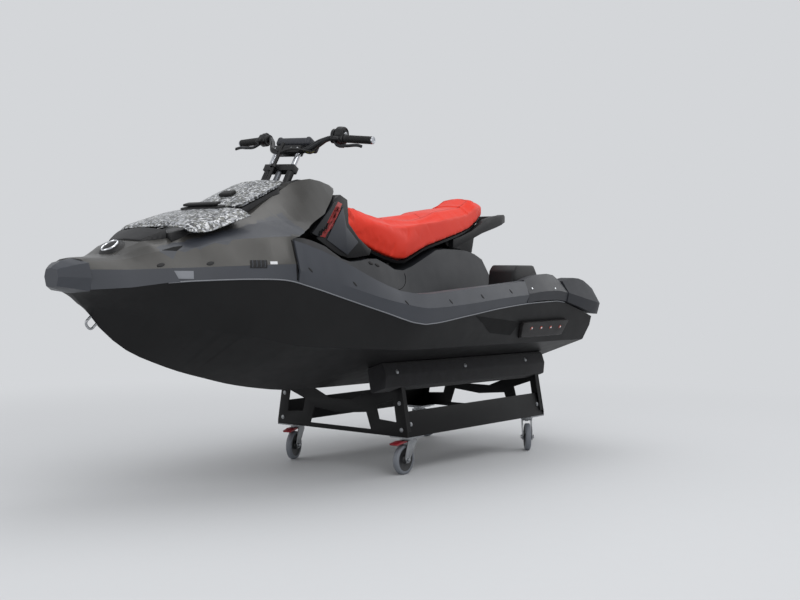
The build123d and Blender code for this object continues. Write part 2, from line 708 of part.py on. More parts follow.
def make_shroud():
    under_pan = [(row.x, row.edge_z - PAN_THICKNESS - 2 * SEAM) for row in sub_stations(SEAT, *SHROUD_PAN_X)]
    feet = [(row.x, row.top_z + SEAM) for row in sub_stations(DECK, *SHROUD_FEET)][::-1]
    outline = SHROUD + under_pan + feet
    outer = plate_xz(outline, SHROUD_HALF_WIDTH, 2 * SHROUD_HALF_WIDTH)
    face = make_face(Polyline([(x, 0, z) for x, z in outline], close=True))
    inner_face = offset(face, -PANEL_WALL)
    half = SHROUD_HALF_WIDTH - PANEL_WALL
    inner = extrude(inner_face, half, both=True)
    return outer - inner


def side_strip(points, y, thickness):
    return plate_xz(points, y + thickness, thickness)


# Seat support, grab handle and what stands on the footwell floor

SUPPORT_FRONT_X = -690.0
SUPPORT_REAR_X = -950.0
SUPPORT_REAR = [(SUPPORT_REAR_X, 1010), (-930, 930)]
SUPPORT_FOOT_X = (-740.0, -905.0)
SUPPORT_HALF_WIDTH = 66.0
HANDLE_OUT = [(-700, 128), (-1088, 128), (-1146, 106), (-1172, 62)]
HANDLE_IN = [(-700, 98), (-1080, 98), (-1122, 80), (-1140, 46)]
HANDLE_REAR = [(-1040, 1104), (-1125, 1113), (-1168, 1100), (-1166, 1080), (-1100, 1066), (-1040, 1048), (-930, 1020),
               (-716, 946), (-700, 948)]
HANDLE_TOP_X = (-700.0, -765.0, -850.0, -905.0, -965.0)
HANDLE_CLEAR = 6.0
HANDLE_FOOT = (44.0, 24.0)
FOOT_OVERLAP = 20.0
WEDGE = [(-672, 0), (-698, 232), (-722, 256), (-862, 242), (-906, 170), (-910, 0), (-760, 0)]
WEDGE_OUT_Y = 466.0
WEDGE_IN_Y = 330.0
MAT_THICKNESS = 6.0
MAT_MARGIN = 12.0
MATS = [(420.0, -960.0), (-1064.0, -1222.0)]


def round_tube(points, diameter, ratio=0.45):
    """A round bar along straight runs joined by tangent arcs."""
    vectors = [Vector(*p) for p in points]
    radii = []
    for before, here, after in zip(vectors, vectors[1:], vectors[2:]):
        turn = math.radians((here - before).get_angle(after - here))
        radii.append(ratio * min((here - before).length, (after - here).length) / math.tan(turn / 2))
    path = FilletPolyline(*vectors, radius=radii)
    start = Plane(origin=vectors[0], z_dir=vectors[1] - vectors[0])
    return sweep(start * Circle(diameter / 2), path=path)


def make_support():
    top = [(row.x, pan_under_z(row.x, SUPPORT_HALF_WIDTH) - SEAM)
           for row in sub_stations(SEAT, SUPPORT_FRONT_X, SUPPORT_REAR_X)]
    feet = [(row.x, row.top_z + SEAM) for row in sub_stations(DECK, *SUPPORT_FOOT_X)][::-1]
    return plate_xz(top + SUPPORT_REAR + feet, SUPPORT_HALF_WIDTH, 2 * SUPPORT_HALF_WIDTH)


def make_handle():
    """Moulded grab handle: a loop in plan, bent in side view, with a foot on the pedestal at each end."""
    arm_y = (HANDLE_OUT[0][1] + HANDLE_IN[0][1]) / 2
    top = [(x, pan_under_z(x, arm_y) - HANDLE_CLEAR) for x in HANDLE_TOP_X]
    body = plate_xz(top + HANDLE_REAR, HANDLE_OUT[0][1], 2 * HANDLE_OUT[0][1])
    plan = HANDLE_OUT + [(x, -y) for x, y in reversed(HANDLE_OUT)]
    hole = HANDLE_IN + [(x, -y) for x, y in reversed(HANDLE_IN)]
    low, high = HANDLE_REAR[-2][1] - 1, HANDLE_REAR[1][1] + 1
    body &= extrude(Pos(0, 0, low) * make_face(Polyline([(x, y, 0) for x, y in plan], close=True)), high - low)
    body -= extrude(Pos(0, 0, low) * make_face(Polyline([(x, y, 0) for x, y in hole], close=True)), high - low)
    length, width = HANDLE_FOOT
    front = HANDLE_TOP_X[0]
    low = max(deck_top_z(front + dx, arm_y - width / 2) for dx in (-length, 0)) + SEAM
    foot = block(front - length, front, arm_y - width / 2, arm_y + width / 2, low, HANDLE_REAR[-2][1] + FOOT_OVERLAP)
    for side in pair(foot):
        body += side
    return body


def make_wedge():
    points = [(x, between(DECK, x, "floor_z") + MAT_THICKNESS + 2 * SEAM + z) for x, z in WEDGE]
    return plate_xz(points, WEDGE_OUT_Y, WEDGE_OUT_Y - WEDGE_IN_Y)


def mat_strip(front, rear):
    """A mat on the port footwell floor between two x values."""
    outlines = []
    for row in sub_stations(DECK, front, rear):
        z = row.floor_z + SEAM
        inner, outer = row.foot_y + MAT_MARGIN, row.floor_y - MAT_MARGIN
        outlines.append((row.x, [(outer, z), (inner, z), (inner, z + MAT_THICKNESS), (outer, z + MAT_THICKNESS)]))
    return loft_outlines(outlines)


def make_mats():
    return [mat for front, rear in MATS for mat in pair(mat_strip(front, rear))]


BOARD_FRONT_X = -1072.0
BOARD_REAR_X = -1222.0
BOARD_HALF_WIDTH = 150.0


def make_boarding_pad():
    """Flat foam pad in the middle of the boarding platform."""
    low = max(between(DECK, x, "top_z") for x in (BOARD_FRONT_X, BOARD_REAR_X)) + SEAM
    return block(BOARD_REAR_X, BOARD_FRONT_X, -BOARD_HALF_WIDTH, BOARD_HALF_WIDTH, low, low + MAT_THICKNESS)


# Fittings on the hull

SPONSON_FRONT_TOP_X = -634.0
SPONSON_FRONT_LOW_X = -680.0
SPONSON_REAR_X = -1003.0
SPONSON_LOW_Z = 546.0
SPONSON_TOP_Z = 624.0
SPONSON_THICKNESS = 20.0
EYE_ROD = 9.0
EYE_WIDTH = 36.0
EYE_REACH = 34.0
BOW_EYE_X = 1222.0
STERN_EYE_Y = 285.0
STERN_EYE_Z = 560.0


def hull_side_y(x, z):
    """Half breadth of the hull side panel above the chine."""
    low, high = between(HULL, x, "chine_z"), between(HULL, x, "side_z")
    share = (z - low) / (high - low)
    return between(HULL, x, "chine_y") * (1 - share) + between(HULL, x, "side_y") * share


def make_sponson():
    outlines = []
    for x in (SPONSON_FRONT_TOP_X, SPONSON_FRONT_LOW_X, -913.0, SPONSON_REAR_X):
        low, top = hull_side_y(x, SPONSON_LOW_Z) + SEAM, hull_side_y(x, SPONSON_TOP_Z) + SEAM
        outlines.append((x, [(low, SPONSON_LOW_Z), (low + SPONSON_THICKNESS, SPONSON_LOW_Z + 6),
                             (top + SPONSON_THICKNESS, SPONSON_TOP_Z - 6), (top, SPONSON_TOP_Z)]))
    body = loft_outlines(outlines)
    corner = plate_xz([(SPONSON_FRONT_TOP_X + 5, SPONSON_TOP_Z - 10), (SPONSON_FRONT_LOW_X, SPONSON_LOW_Z - 5),
                       (SPONSON_FRONT_TOP_X + 5, SPONSON_LOW_Z - 5)], BEAM, BEAM)
    return body - corner


def make_eye(origin, outward, across):
    """A U-bolt standing on a surface at origin."""
    plane = Plane(origin=origin, z_dir=outward, x_dir=across)
    half = EYE_WIDTH / 2
    points = [(-half, 0, SEAM), (-half, 0, EYE_REACH), (half, 0, EYE_REACH), (half, 0, SEAM)]
    path = FilletPolyline(*points, radius=half * 0.8)
    bow = sweep(Plane(origin=points[0], z_dir=(0, 0, 1)) * Circle(EYE_ROD / 2), path=path)
    return plane.location * bow


def make_eyes():
    z0, z1 = between(HULL, BOW_EYE_X - 20, "keel_z"), between(HULL, BOW_EYE_X + 20, "keel_z")
    slope = math.atan2(z1 - z0, 40)
    bow = make_eye((BOW_EYE_X, 0, between(HULL, BOW_EYE_X, "keel_z")),
                   (math.sin(slope), 0, -math.cos(slope)), (math.cos(slope), 0, math.sin(slope)))
    stern = make_eye((TRANSOM_X, STERN_EYE_Y, STERN_EYE_Z), (-1, 0, 0), (0, 0, 1))
    return [bow] + pair(stern)


# Engine, shaft and jet pump

ENGINE_FOOT = 40.0
ENGINE_FOOT_GAP = 2.5
ENGINE_FOOT_Y = 120.0
ENGINE_FOOT_X = 150.0
SHAFT_GAP = 1.0


def make_engine():
    body = Pos(ENGINE_X, 0, ENGINE_Z + ENGINE_HEIGHT / 2) * Box(ENGINE_LENGTH, ENGINE_WIDTH, ENGINE_HEIGHT)
    edge = ENGINE_FOOT_Y + ENGINE_FOOT / 2
    rise = math.tan(bottom_slope(ENGINE_X))
    low = bottom_z(ENGINE_X, edge) + HULL_WALL * math.hypot(1, rise) + ENGINE_FOOT_GAP
    for dx in (-ENGINE_FOOT_X, ENGINE_FOOT_X):
        for y in (-ENGINE_FOOT_Y, ENGINE_FOOT_Y):
            body += block(ENGINE_X + dx - ENGINE_FOOT / 2, ENGINE_X + dx + ENGINE_FOOT / 2,
                          y - ENGINE_FOOT / 2, y + ENGINE_FOOT / 2, low, ENGINE_Z)
    return body


PUMP_REAR_X = PUMP_FRONT_X - PUMP_LENGTH
PUMP_FLANGE = 10.0
STATOR_HUB = 62.0
STATOR_LENGTH = 70.0
STATOR_VANES = 5
VANE = 5.0
STATOR_TAIL = 50.0
STATOR_TIP = 24.0


def cone_x(x0, x1, y, z, d0, d1):
    """A round taper along X from diameter d0 at x0 to d1 at x1, x1 nearer the stern."""
    return Pos((x0 + x1) / 2, y, z) * Rot(0, -90, 0) * Cone(d0 / 2, d1 / 2, x0 - x1)


def ride_plate_z():
    """Underside of the ride plate, flush with the tunnel's rear edges."""
    return bottom_z(TRANSOM_X, TUNNEL_WIDTH / 2) - 2


def make_pump():
    outer = PUMP_BORE + 2 * PUMP_WALL
    spout = VENTURI_MOUTH + 2 * SPOUT_WALL
    cone_end = PUMP_REAR_X - VENTURI_LENGTH
    half = TUNNEL_WIDTH / 2 - SEAM
    floor = ride_plate_z() + RIDE_PLATE + SEAM
    body = tube_x(PUMP_FRONT_X, PUMP_REAR_X, 0, PUMP_Z, outer)
    body += block(PUMP_FRONT_X - PUMP_FLANGE, PUMP_FRONT_X, -half, half, floor, TUNNEL_ROOF_Z - SEAM)
    body += cone_x(PUMP_REAR_X, cone_end, 0, PUMP_Z, outer, spout)
    body += tube_x(cone_end, cone_end - SPOUT_LENGTH, 0, PUMP_Z, spout)
    pin = Cylinder(PIVOT_PIN / 2, 2 * GATE_HALF_WIDTH)
    body += Pos(GATE_PIVOT_X, 0, PUMP_Z) * Rot(90, 0, 0) * pin
    upright = Cylinder(PIVOT_PIN / 2, spout + 2 * NOZZLE_GAP + 2 * NOZZLE_WALL)
    body += Pos(NOZZLE_PIVOT_X, 0, PUMP_Z) * upright
    body -= tube_x(PUMP_FRONT_X + 5, PUMP_REAR_X, 0, PUMP_Z, PUMP_BORE)
    body -= cone_x(PUMP_REAR_X, cone_end, 0, PUMP_Z, PUMP_BORE, VENTURI_MOUTH)
    body -= tube_x(cone_end, cone_end - SPOUT_LENGTH - 5, 0, PUMP_Z, VENTURI_MOUTH)
    hub_front = PUMP_REAR_X + STATOR_LENGTH
    hub = tube_x(hub_front, PUMP_REAR_X, 0, PUMP_Z, STATOR_HUB)
    hub += cone_x(PUMP_REAR_X, PUMP_REAR_X - STATOR_TAIL, 0, PUMP_Z, STATOR_HUB, STATOR_TIP)
    for i in range(STATOR_VANES):
        vane = block(PUMP_REAR_X + 6, hub_front - 6, -VANE / 2, VANE / 2, STATOR_HUB / 2 - 4, PUMP_BORE / 2 + 3)
        hub += Pos(0, 0, PUMP_Z) * Rot(360.0 / STATOR_VANES * i, 0, 0) * vane
    return body + hub


IMPELLER_FRONT_X = PUMP_FRONT_X - 14.0
BLADE_TWIST = 105.0
BLADE_STEPS = 5
BLADE_THICKNESS = 4.0


def make_impeller():
    rear = IMPELLER_FRONT_X - IMPELLER_LENGTH
    hub = tube_x(IMPELLER_FRONT_X, rear, 0, PUMP_Z, IMPELLER_HUB)
    hub += cone_x(IMPELLER_FRONT_X + 26, IMPELLER_FRONT_X, 0, PUMP_Z, SHAFT + 10, IMPELLER_HUB)
    tip = PUMP_BORE / 2 - IMPELLER_TIP_GAP
    root = IMPELLER_HUB / 2 - 5
    for i in range(IMPELLER_BLADES):
        wires = []
        for step in range(BLADE_STEPS):
            share = step / (BLADE_STEPS - 1)
            angle = math.radians(360.0 / IMPELLER_BLADES * i + BLADE_TWIST * share)
            x = IMPELLER_FRONT_X - 4 - share * (IMPELLER_LENGTH - 8)
            radial = Vector(0, math.cos(angle), math.sin(angle))
            along = Vector(0, -math.sin(angle), math.cos(angle)) * (BLADE_THICKNESS / 2 * 1.6)
            centre = Vector(x, 0, PUMP_Z)
            wires.append(Wire.make_polygon([centre + radial * root + along, centre + radial * tip + along,
                                            centre + radial * tip - along, centre + radial * root - along],
                                           close=True))
        hub += Solid.make_loft(wires, True)
    hub -= tube_x(IMPELLER_FRONT_X + 30, rear + 8, 0, PUMP_Z, SHAFT)
    return hub


def make_shaft():
    return tube_x(ENGINE_X - ENGINE_LENGTH / 2 - SHAFT_GAP, IMPELLER_FRONT_X - IMPELLER_LENGTH + 8, 0, PUMP_Z, SHAFT)


def make_nozzle():
    front = NOZZLE_PIVOT_X + NOZZLE_FRONT
    rear = front - NOZZLE_LENGTH
    mouth = VENTURI_MOUTH + 2 * SPOUT_WALL + 2 * NOZZLE_GAP
    body = cone_x(front, rear, 0, PUMP_Z, mouth + 2 * NOZZLE_WALL, NOZZLE_MOUTH + 2 * NOZZLE_WALL)
    body += Pos(NOZZLE_PIVOT_X, 0, PUMP_Z) * Cylinder(PIVOT_PIN / 2 + 5, mouth + 2 * NOZZLE_WALL)
    body -= cone_x(front, rear, 0, PUMP_Z, mouth, NOZZLE_MOUTH)
    body -= Pos(NOZZLE_PIVOT_X, 0, PUMP_Z) * Cylinder(PIVOT_PIN / 2 + RUNNING, 2 * mouth)
    body -= tube_x(front + 20, NOZZLE_PIVOT_X - 14, 0, PUMP_Z, mouth - 4)
    return body


def gate_sector(r0, r1, a0, a1, y0, y1):
    """A curved plate about the gate's pivot, between two angles above the stern direction."""
    steps = 6
    arc = [math.radians(a0 + (a1 - a0) * i / steps) for i in range(steps + 1)]
    outer = [(GATE_PIVOT_X - r1 * math.cos(a), PUMP_Z + r1 * math.sin(a)) for a in arc]
    inner = [(GATE_PIVOT_X - r0 * math.cos(a), PUMP_Z + r0 * math.sin(a)) for a in reversed(arc)]
    return plate_xz(outer + inner, y1, y1 - y0)


GATE_LOW = 38.0
GATE_HIGH = 76.0


def make_gate():
    half = GATE_HALF_WIDTH
    body = gate_sector(GATE_RADIUS - GATE_THICKNESS, GATE_RADIUS, GATE_LOW, GATE_HIGH, -half, half)
    for sign in (-1, 1):
        y0, y1 = sorted((sign * half, sign * (half - GATE_THICKNESS)))
        arm = gate_sector(14, GATE_RADIUS - 1, GATE_LOW + 2, GATE_HIGH - 16, y0, y1)
        arm += Pos(GATE_PIVOT_X, (y0 + y1) / 2, PUMP_Z) * Rot(90, 0, 0) * Cylinder(18, GATE_THICKNESS)
        body += arm
    for sign in (-1, 1):
        y = sign * (half - GATE_THICKNESS / 2)
        body -= Pos(GATE_PIVOT_X, y, PUMP_Z) * Rot(90, 0, 0) * Cylinder(PIVOT_PIN / 2 + RUNNING, 3 * GATE_THICKNESS)
    return body


RIDE_PLATE_FRONT_X = -960.0
RIDE_PLATE_REAR_X = -1238.0
RIDE_PLATE = 6.0
GRATE_FRONT_X = -693.0
GRATE_BARS = 3
GRATE_BAR = 12.0


def make_ride_plate():
    half = TUNNEL_WIDTH / 2 - SEAM
    low = ride_plate_z()
    return block(RIDE_PLATE_REAR_X, RIDE_PLATE_FRONT_X, -half, half, low, low + RIDE_PLATE)


def make_grate():
    half = TUNNEL_WIDTH / 2 - SEAM
    low = ride_plate_z()
    frame = block(RIDE_PLATE_FRONT_X + SEAM, GRATE_FRONT_X, -half, half, low, low + GRATE_BAR)
    pitch = 2 * half / (GRATE_BARS + 1)
    for i in range(GRATE_BARS + 1):
        y0 = -half + pitch * i + GRATE_BAR / 2
        y1 = -half + pitch * (i + 1) - GRATE_BAR / 2
        frame -= block(RIDE_PLATE_FRONT_X + 14, GRATE_FRONT_X - 14, y0, y1, low - 5, low + GRATE_BAR + 5)
    return frame


# Steering head, risers and handlebar, drawn about the tilted steering axis

def steered(shape):
    return steer_plane().location * Rot(0, 0, STEER_REST) * shape


HEAD_STEM = 24.0
HEAD_PLATE_Z = -130.0
HEAD_REACH = 20.0
COLUMN_X = 40.0
COLUMN_Y = 50.0
CLAMP = (34.0, 156.0, 28.0)
TOP_CLAMP = (34.0, 140.0, 34.0)
GUIDE = 28.0
GUIDE_HEIGHT = 12.0
CABLE_HOLE = 20.0
CABLE = 14.0
CABLE_X = 34.0
CABLE_Y = -8.0
COVER_HALF_WIDTH = 98.0
CoverStation = namedtuple("CoverStation", "x half rise")
COVER = [CoverStation(388, 0.45, 3), CoverStation(366, 0.8, 7), CoverStation(340, 0.96, 8),
         CoverStation(290, 1.0, 7), CoverStation(240, 0.8, 6), CoverStation(214, 0.5, 3)]


def make_head():
    stem = Pos(0, 0, (HEAD_PLATE_Z + HEAD_REACH) / 2) * Cylinder(HEAD_STEM / 2, HEAD_REACH - HEAD_PLATE_Z)
    foot = steer_plane().from_local_coords(Vector(0, 0, HEAD_PLATE_Z))
    floor = between(DECK, foot.X + COLUMN_X / 2, "top_z") + SEAM
    column = block(foot.X - COLUMN_X / 2, foot.X + COLUMN_X / 2, -COLUMN_Y / 2, COLUMN_Y / 2, floor, foot.Z + 6)
    return steer_plane().location * stem + column


def make_clamp_base():
    """Lower clamp block with the sleeves that the risers slide in, and a guide for the cables."""
    body = Pos(0, 0, CLAMP[2] / 2) * Box(*CLAMP)
    body += Pos(CABLE_X, CABLE_Y, GUIDE_HEIGHT / 2) * Cylinder(GUIDE / 2, GUIDE_HEIGHT)
    body += Pos(CABLE_X / 2, CABLE_Y, GUIDE_HEIGHT / 2) * Box(CABLE_X, GUIDE, GUIDE_HEIGHT)
    for sign in (-1, 1):
        y = sign * RISER_SPACING / 2
        body += Pos(0, y, -SLEEVE_DEPTH / 2) * Cylinder(SLEEVE_OUTER / 2, SLEEVE_DEPTH)
    for sign in (-1, 1):
        y = sign * RISER_SPACING / 2
        body -= Pos(0, y, 0) * Cylinder(RISER_TUBE / 2 + RUNNING, 4 * SLEEVE_DEPTH)
    body -= Cylinder(HEAD_STEM / 2 + RUNNING, 2 * HEAD_REACH + 1)
    body -= Pos(CABLE_X, CABLE_Y, 0) * Cylinder(CABLE_HOLE / 2, 4 * CLAMP[2])
    return steered(body)


def make_cover():
    """Low dish on the hood with slots for what turns with the steering."""
    outlines = []
    for row in merged(COVER, HOOD):
        x = row.x
        half = row.half * COVER_HALF_WIDTH
        base = between(HOOD, x, "top_z") + SEAM
        slope = (between(HOOD, x, "lip_z") - between(HOOD, x, "top_z")) / between(HOOD, x, "lip_y")
        side = [(half, base + slope * half), (half * 0.94, base + slope * half * 0.94 + row.rise),
                (half * 0.6, base + slope * half * 0.6 + row.rise + 1)]
        top = (0, base + row.rise + 1)
        outlines.append((x, side + [top] + [(-y, z) for y, z in reversed(side)] + [(0, base)]))
    shell = loft_outlines(outlines)
    return shell - steer_slots(SLOT_MARGIN)


def make_risers():
    bodies = []
    height = RISER_HEIGHT - TOP_CLAMP[2] / 2 + RISER_DEPTH
    for sign in (-1, 1):
        tube = Cylinder(RISER_TUBE / 2, height) - Cylinder(RISER_TUBE / 2 - RISER_WALL, height + 2)
        bodies.append(steered(Pos(0, sign * RISER_SPACING / 2, height / 2 - RISER_DEPTH) * tube))
    return bodies


BAR = [(-62, BAR_HALF_WIDTH, 193), (-32, 162, 188), (-16, 126, 158), (0, 88, RISER_HEIGHT)]
BAR_BEND = 0.24


def make_bar():
    points = BAR + [(x, -y, z) for x, y, z in reversed(BAR)]
    return steered(round_tube(points, BAR_TUBE, BAR_BEND))


def make_top_clamp():
    body = Pos(0, 0, RISER_HEIGHT) * Box(*TOP_CLAMP)
    body -= Pos(0, 0, RISER_HEIGHT) * Rot(90, 0, 0) * Cylinder(BAR_TUBE / 2 + RUNNING, 2 * TOP_CLAMP[1])
    return steered(body)


def bar_end_plane(sign):
    tip, inner = Vector(*BAR[0]), Vector(*BAR[1])
    if sign < 0:
        tip, inner = Vector(tip.X, -tip.Y, tip.Z), Vector(inner.X, -inner.Y, inner.Z)
    return Plane(origin=tip, z_dir=(inner - tip), x_dir=(0, 0, 1))


def on_bar(sign, shape):
    return steered(bar_end_plane(sign).location * shape)


RING = 6.0
HOUSING_LENGTH = 46.0
HOUSING = 40.0
DIAL_RISE = 18.0
DIAL = 40.0
DIAL_DEPTH = 30.0
LEVER = (8.0, 12.0, 150.0)
LEVER_REACH = 40.0
LEVER_SHIFT = 60.0


def make_grips():
    grips = []
    for sign in (-1, 1):
        body = Cylinder(GRIP / 2, GRIP_LENGTH) - Cylinder(BAR_TUBE / 2 + RUNNING, GRIP_LENGTH + 2)
        grips.append(on_bar(sign, Pos(0, 0, GRIP_LENGTH / 2) * body))
    return grips


def make_rings():
    return [on_bar(sign, Pos(0, 0, -RING / 2) * Cylinder(GRIP / 2 - 1, RING)) for sign in (-1, 1)]


def make_controls():
    bodies = []
    for sign in (-1, 1):
        middle = GRIP_LENGTH + 1 + HOUSING_LENGTH / 2
        body = Pos(0, 0, middle) * Box(HOUSING, HOUSING, HOUSING_LENGTH)
        if sign > 0:
            body += Pos(DIAL_RISE, 0, middle) * Cylinder(DIAL / 2, DIAL_DEPTH)
        lever = Pos(0, -LEVER_REACH * sign, middle - LEVER_SHIFT) * Box(*LEVER)
        arm = Pos(0, -LEVER_REACH / 2 * sign, middle) * Box(2 * LEVER[0], LEVER_REACH, 3 * LEVER[0])
        body += arm + lever
        body -= Cylinder(BAR_TUBE / 2 + RUNNING, 2 * BAR_HALF_WIDTH)
        bodies.append(on_bar(sign, body))
    return bodies


PAD = (80.0, 176.0, 34.0)
PAD_X = 14.0


def make_pad():
    z = RISER_HEIGHT + TOP_CLAMP[2] / 2 + SEAM + PAD[2] / 2
    return steered(Pos(PAD_X, 0, z) * fillet(Box(*PAD).edges(), 12))


CABLE_LOW_Z = -125.0
CABLE_TOP_GAP = 1.0


def make_cables():
    """Cables from the pad's underside down through the guide and the cover, straight where they slide."""
    top = RISER_HEIGHT + TOP_CLAMP[2] / 2 - CABLE_TOP_GAP
    points = [(CABLE_X, CABLE_Y, top), (CABLE_X + 2, CABLE_Y - 3, top - 28), (CABLE_X, CABLE_Y, top - 54),
              (CABLE_X, CABLE_Y, CABLE_LOW_Z)]
    return steered(round_tube(points, CABLE))


# Display dolly

LEG_OUT_Y = 337.0
LEG_IN_Y = 243.0
NOTCH_DROP = 55.0
NOTCH_HALF = 60.0
PLATE_FOOT_Z = 176.0
LEG_WINDOW = [(222, 226), (316, 220), (300, 314), (206, 282)]
LOW_WINDOW = [(-176, 180), (176, 180), (150, 250), (0, 236), (-150, 250)]
RAIL_HEIGHT = 104.0
RAIL_LEAN = 27.0
BUNK_EDGE = 9.0


def bunk_point(x, along, under):
    """A (y, z) point of the bunk at x: along the slope from its middle and under the hull's bottom."""
    slope = bottom_slope(x)
    y = BUNK_Y + along * math.cos(slope) + under * math.sin(slope)
    z = bottom_z(x, BUNK_Y) + along * math.sin(slope) - under * math.cos(slope)
    return y, z


def bunk_under_z(x, y):
    """Height of the bunk's lower face at x and y."""
    slope = bottom_slope(x)
    return bottom_z(x, y) - (BUNK_THICKNESS + SEAM) / math.cos(slope)


def make_end_plate(x):
    outer_z = bunk_under_z(x, LEG_OUT_Y) - SEAM
    inner_z = bunk_under_z(x, LEG_IN_Y) - SEAM
    notch_z = between(HULL, x, "keel_z") - NOTCH_DROP
    half = [(DOLLY_HALF_WIDTH, DOLLY_BASE_Z), (DOLLY_HALF_WIDTH, PLATE_FOOT_Z), (LEG_OUT_Y, outer_z),
            (LEG_IN_Y, inner_z), (NOTCH_HALF, notch_z)]
    outline = half + [(-y, z) for y, z in reversed(half)]
    body = plate_yz(outline, x, DOLLY_PLATE)
    for window in (LEG_WINDOW, [(-y, z) for y, z in LEG_WINDOW], LOW_WINDOW):
        body -= plate_yz(window, x + 1, DOLLY_PLATE + 2)
    return body


def make_dolly_side():
    wide = DOLLY_HALF_WIDTH
    low, high = DOLLY_BASE_Z, DOLLY_BASE_Z + RAIL_HEIGHT
    outline = [(wide, low), (wide - RAIL_LEAN, high), (wide - RAIL_LEAN - DOLLY_PLATE, high),
               (wide - DOLLY_PLATE, low)]
    return loft_outlines([(DOLLY_FRONT_X - DOLLY_PLATE, outline), (DOLLY_REAR_X + DOLLY_PLATE, outline)])


def make_bunk():
    half = BUNK_WIDTH / 2
    low = SEAM + BUNK_THICKNESS
    corners = [(-half, SEAM + BUNK_EDGE), (BUNK_EDGE - half, SEAM), (half - BUNK_EDGE, SEAM),
               (half, SEAM + BUNK_EDGE), (half, low - BUNK_EDGE), (half - BUNK_EDGE, low),
               (BUNK_EDGE - half, low), (-half, low - BUNK_EDGE)]
    return loft_outlines([(x, [bunk_point(x, *c) for c in corners]) for x in (BUNK_FRONT_X, BUNK_REAR_X)])


CornerRow = namedtuple("CornerRow", "name x y trail_angle brake")
CORNERS = [
    CornerRow("front_port", DOLLY_FRONT_X - CASTER_INSET_X, CASTER_Y, 4.0, True),
    CornerRow("front_starboard", DOLLY_FRONT_X - CASTER_INSET_X, -CASTER_Y, 20.0, True),
    CornerRow("rear_port", DOLLY_REAR_X + CASTER_INSET_X, CASTER_Y, 40.0, False),
    CornerRow("rear_starboard", DOLLY_REAR_X + CASTER_INSET_X, -CASTER_Y, 150.0, False),
]
CORNER_PLATE = (110.0, 96.0, 5.0)
MOUNT_PLATE = (92.0, 74.0, 4.0)
RACE = 56.0
RACE_DROP = 6.0
STEM_DROP = 16.0
CROWN = 4.0
TREAD = 12.0
HUB = 36.0
DISH = 6.0
SHOULDER = 3.0


def at_corner(corner, shape):
    return Pos(corner.x, corner.y, 0) * Rot(0, 0, corner.trail_angle) * shape


def make_caster_mount(corner):
    """A corner plate of the dolly with a caster's top plate, race and stem under it."""
    sign = 1 if corner.y > 0 else -1
    side = 1 if corner.x > (DOLLY_FRONT_X + DOLLY_REAR_X) / 2 else -1
    x = (DOLLY_FRONT_X if side > 0 else DOLLY_REAR_X) - side * CORNER_PLATE[0] / 2
    y = sign * (DOLLY_HALF_WIDTH - CORNER_PLATE[1] / 2)
    body = Pos(x, y, DOLLY_BASE_Z - CORNER_PLATE[2] / 2) * Box(*CORNER_PLATE)
    top = DOLLY_BASE_Z - CORNER_PLATE[2]
    low = top - MOUNT_PLATE[2]
    race_low = SWIVEL_TOP_Z - RACE_DROP
    stem_low = SWIVEL_TOP_Z - STEM_DROP
    body += Pos(corner.x, corner.y, (top + low) / 2) * Box(*MOUNT_PLATE)
    body += Pos(corner.x, corner.y, (low + race_low) / 2) * Cylinder(RACE / 2, low - race_low)
    body += Pos(corner.x, corner.y, (low + stem_low) / 2) * Cylinder(SWIVEL_STEM / 2, low - stem_low)
    return body


def make_fork(corner):
    crown_top = SWIVEL_TOP_Z - RACE_DROP - SEAM
    inner = WHEEL_WIDTH / 2 + FORK_GAP
    hub = WHEEL / 2
    outline = [(-30, crown_top), (34, crown_top), (CASTER_TRAIL + 20, hub + 8), (CASTER_TRAIL + 10, hub - 14),
               (CASTER_TRAIL - 10, hub - 14), (CASTER_TRAIL - 22, hub + 10), (-30, crown_top - 12)]
    body = Pos(2, 0, crown_top - CROWN / 2) * Box(64, 2 * inner + 2 * FORK_PLATE, CROWN)
    for sign in (-1, 1):
        y = inner + FORK_PLATE if sign > 0 else -inner
        body += plate_xz(outline, y, FORK_PLATE)
    body -= Pos(0, 0, crown_top) * Cylinder(SWIVEL_STEM / 2 + RUNNING, 3 * CROWN)
    axle = Pos(CASTER_TRAIL, 0, hub) * Rot(90, 0, 0) * Cylinder(AXLE / 2, 2 * (inner + FORK_PLATE + AXLE_END))
    return at_corner(corner, body + axle)


def make_wheel(corner):
    half = WHEEL_WIDTH / 2
    radius = WHEEL / 2
    rim = radius - TREAD
    profile = [(AXLE / 2 + RUNNING, -half), (HUB / 2, -half), (rim, DISH - half), (rim, SHOULDER - half),
               (radius, 2 * SHOULDER - half), (radius, half - 2 * SHOULDER), (rim, half - SHOULDER),
               (rim, half - DISH), (HUB / 2, half), (AXLE / 2 + RUNNING, half)]
    face = make_face(Polyline([(r, 0, z) for r, z in profile], close=True))
    wheel = Rot(90, 0, 0) * revolve(face, Axis.Z)
    return at_corner(corner, Pos(CASTER_TRAIL, 0, WHEEL / 2) * wheel)


def make_brake(corner):
    crown_top = SWIVEL_TOP_Z - RACE_DROP - SEAM
    inner = WHEEL_WIDTH / 2 + FORK_GAP
    body = plate_xz([(34.5, crown_top), (34.5, crown_top - 6), (108, crown_top - 14), (112, crown_top - 6),
                     (66, crown_top + 1)], inner, 2 * inner)
    return at_corner(corner, body)


parts = {}


def add(name, *shapes):
    parts[name] = shapes[0] if len(shapes) == 1 else Compound(children=list(shapes))


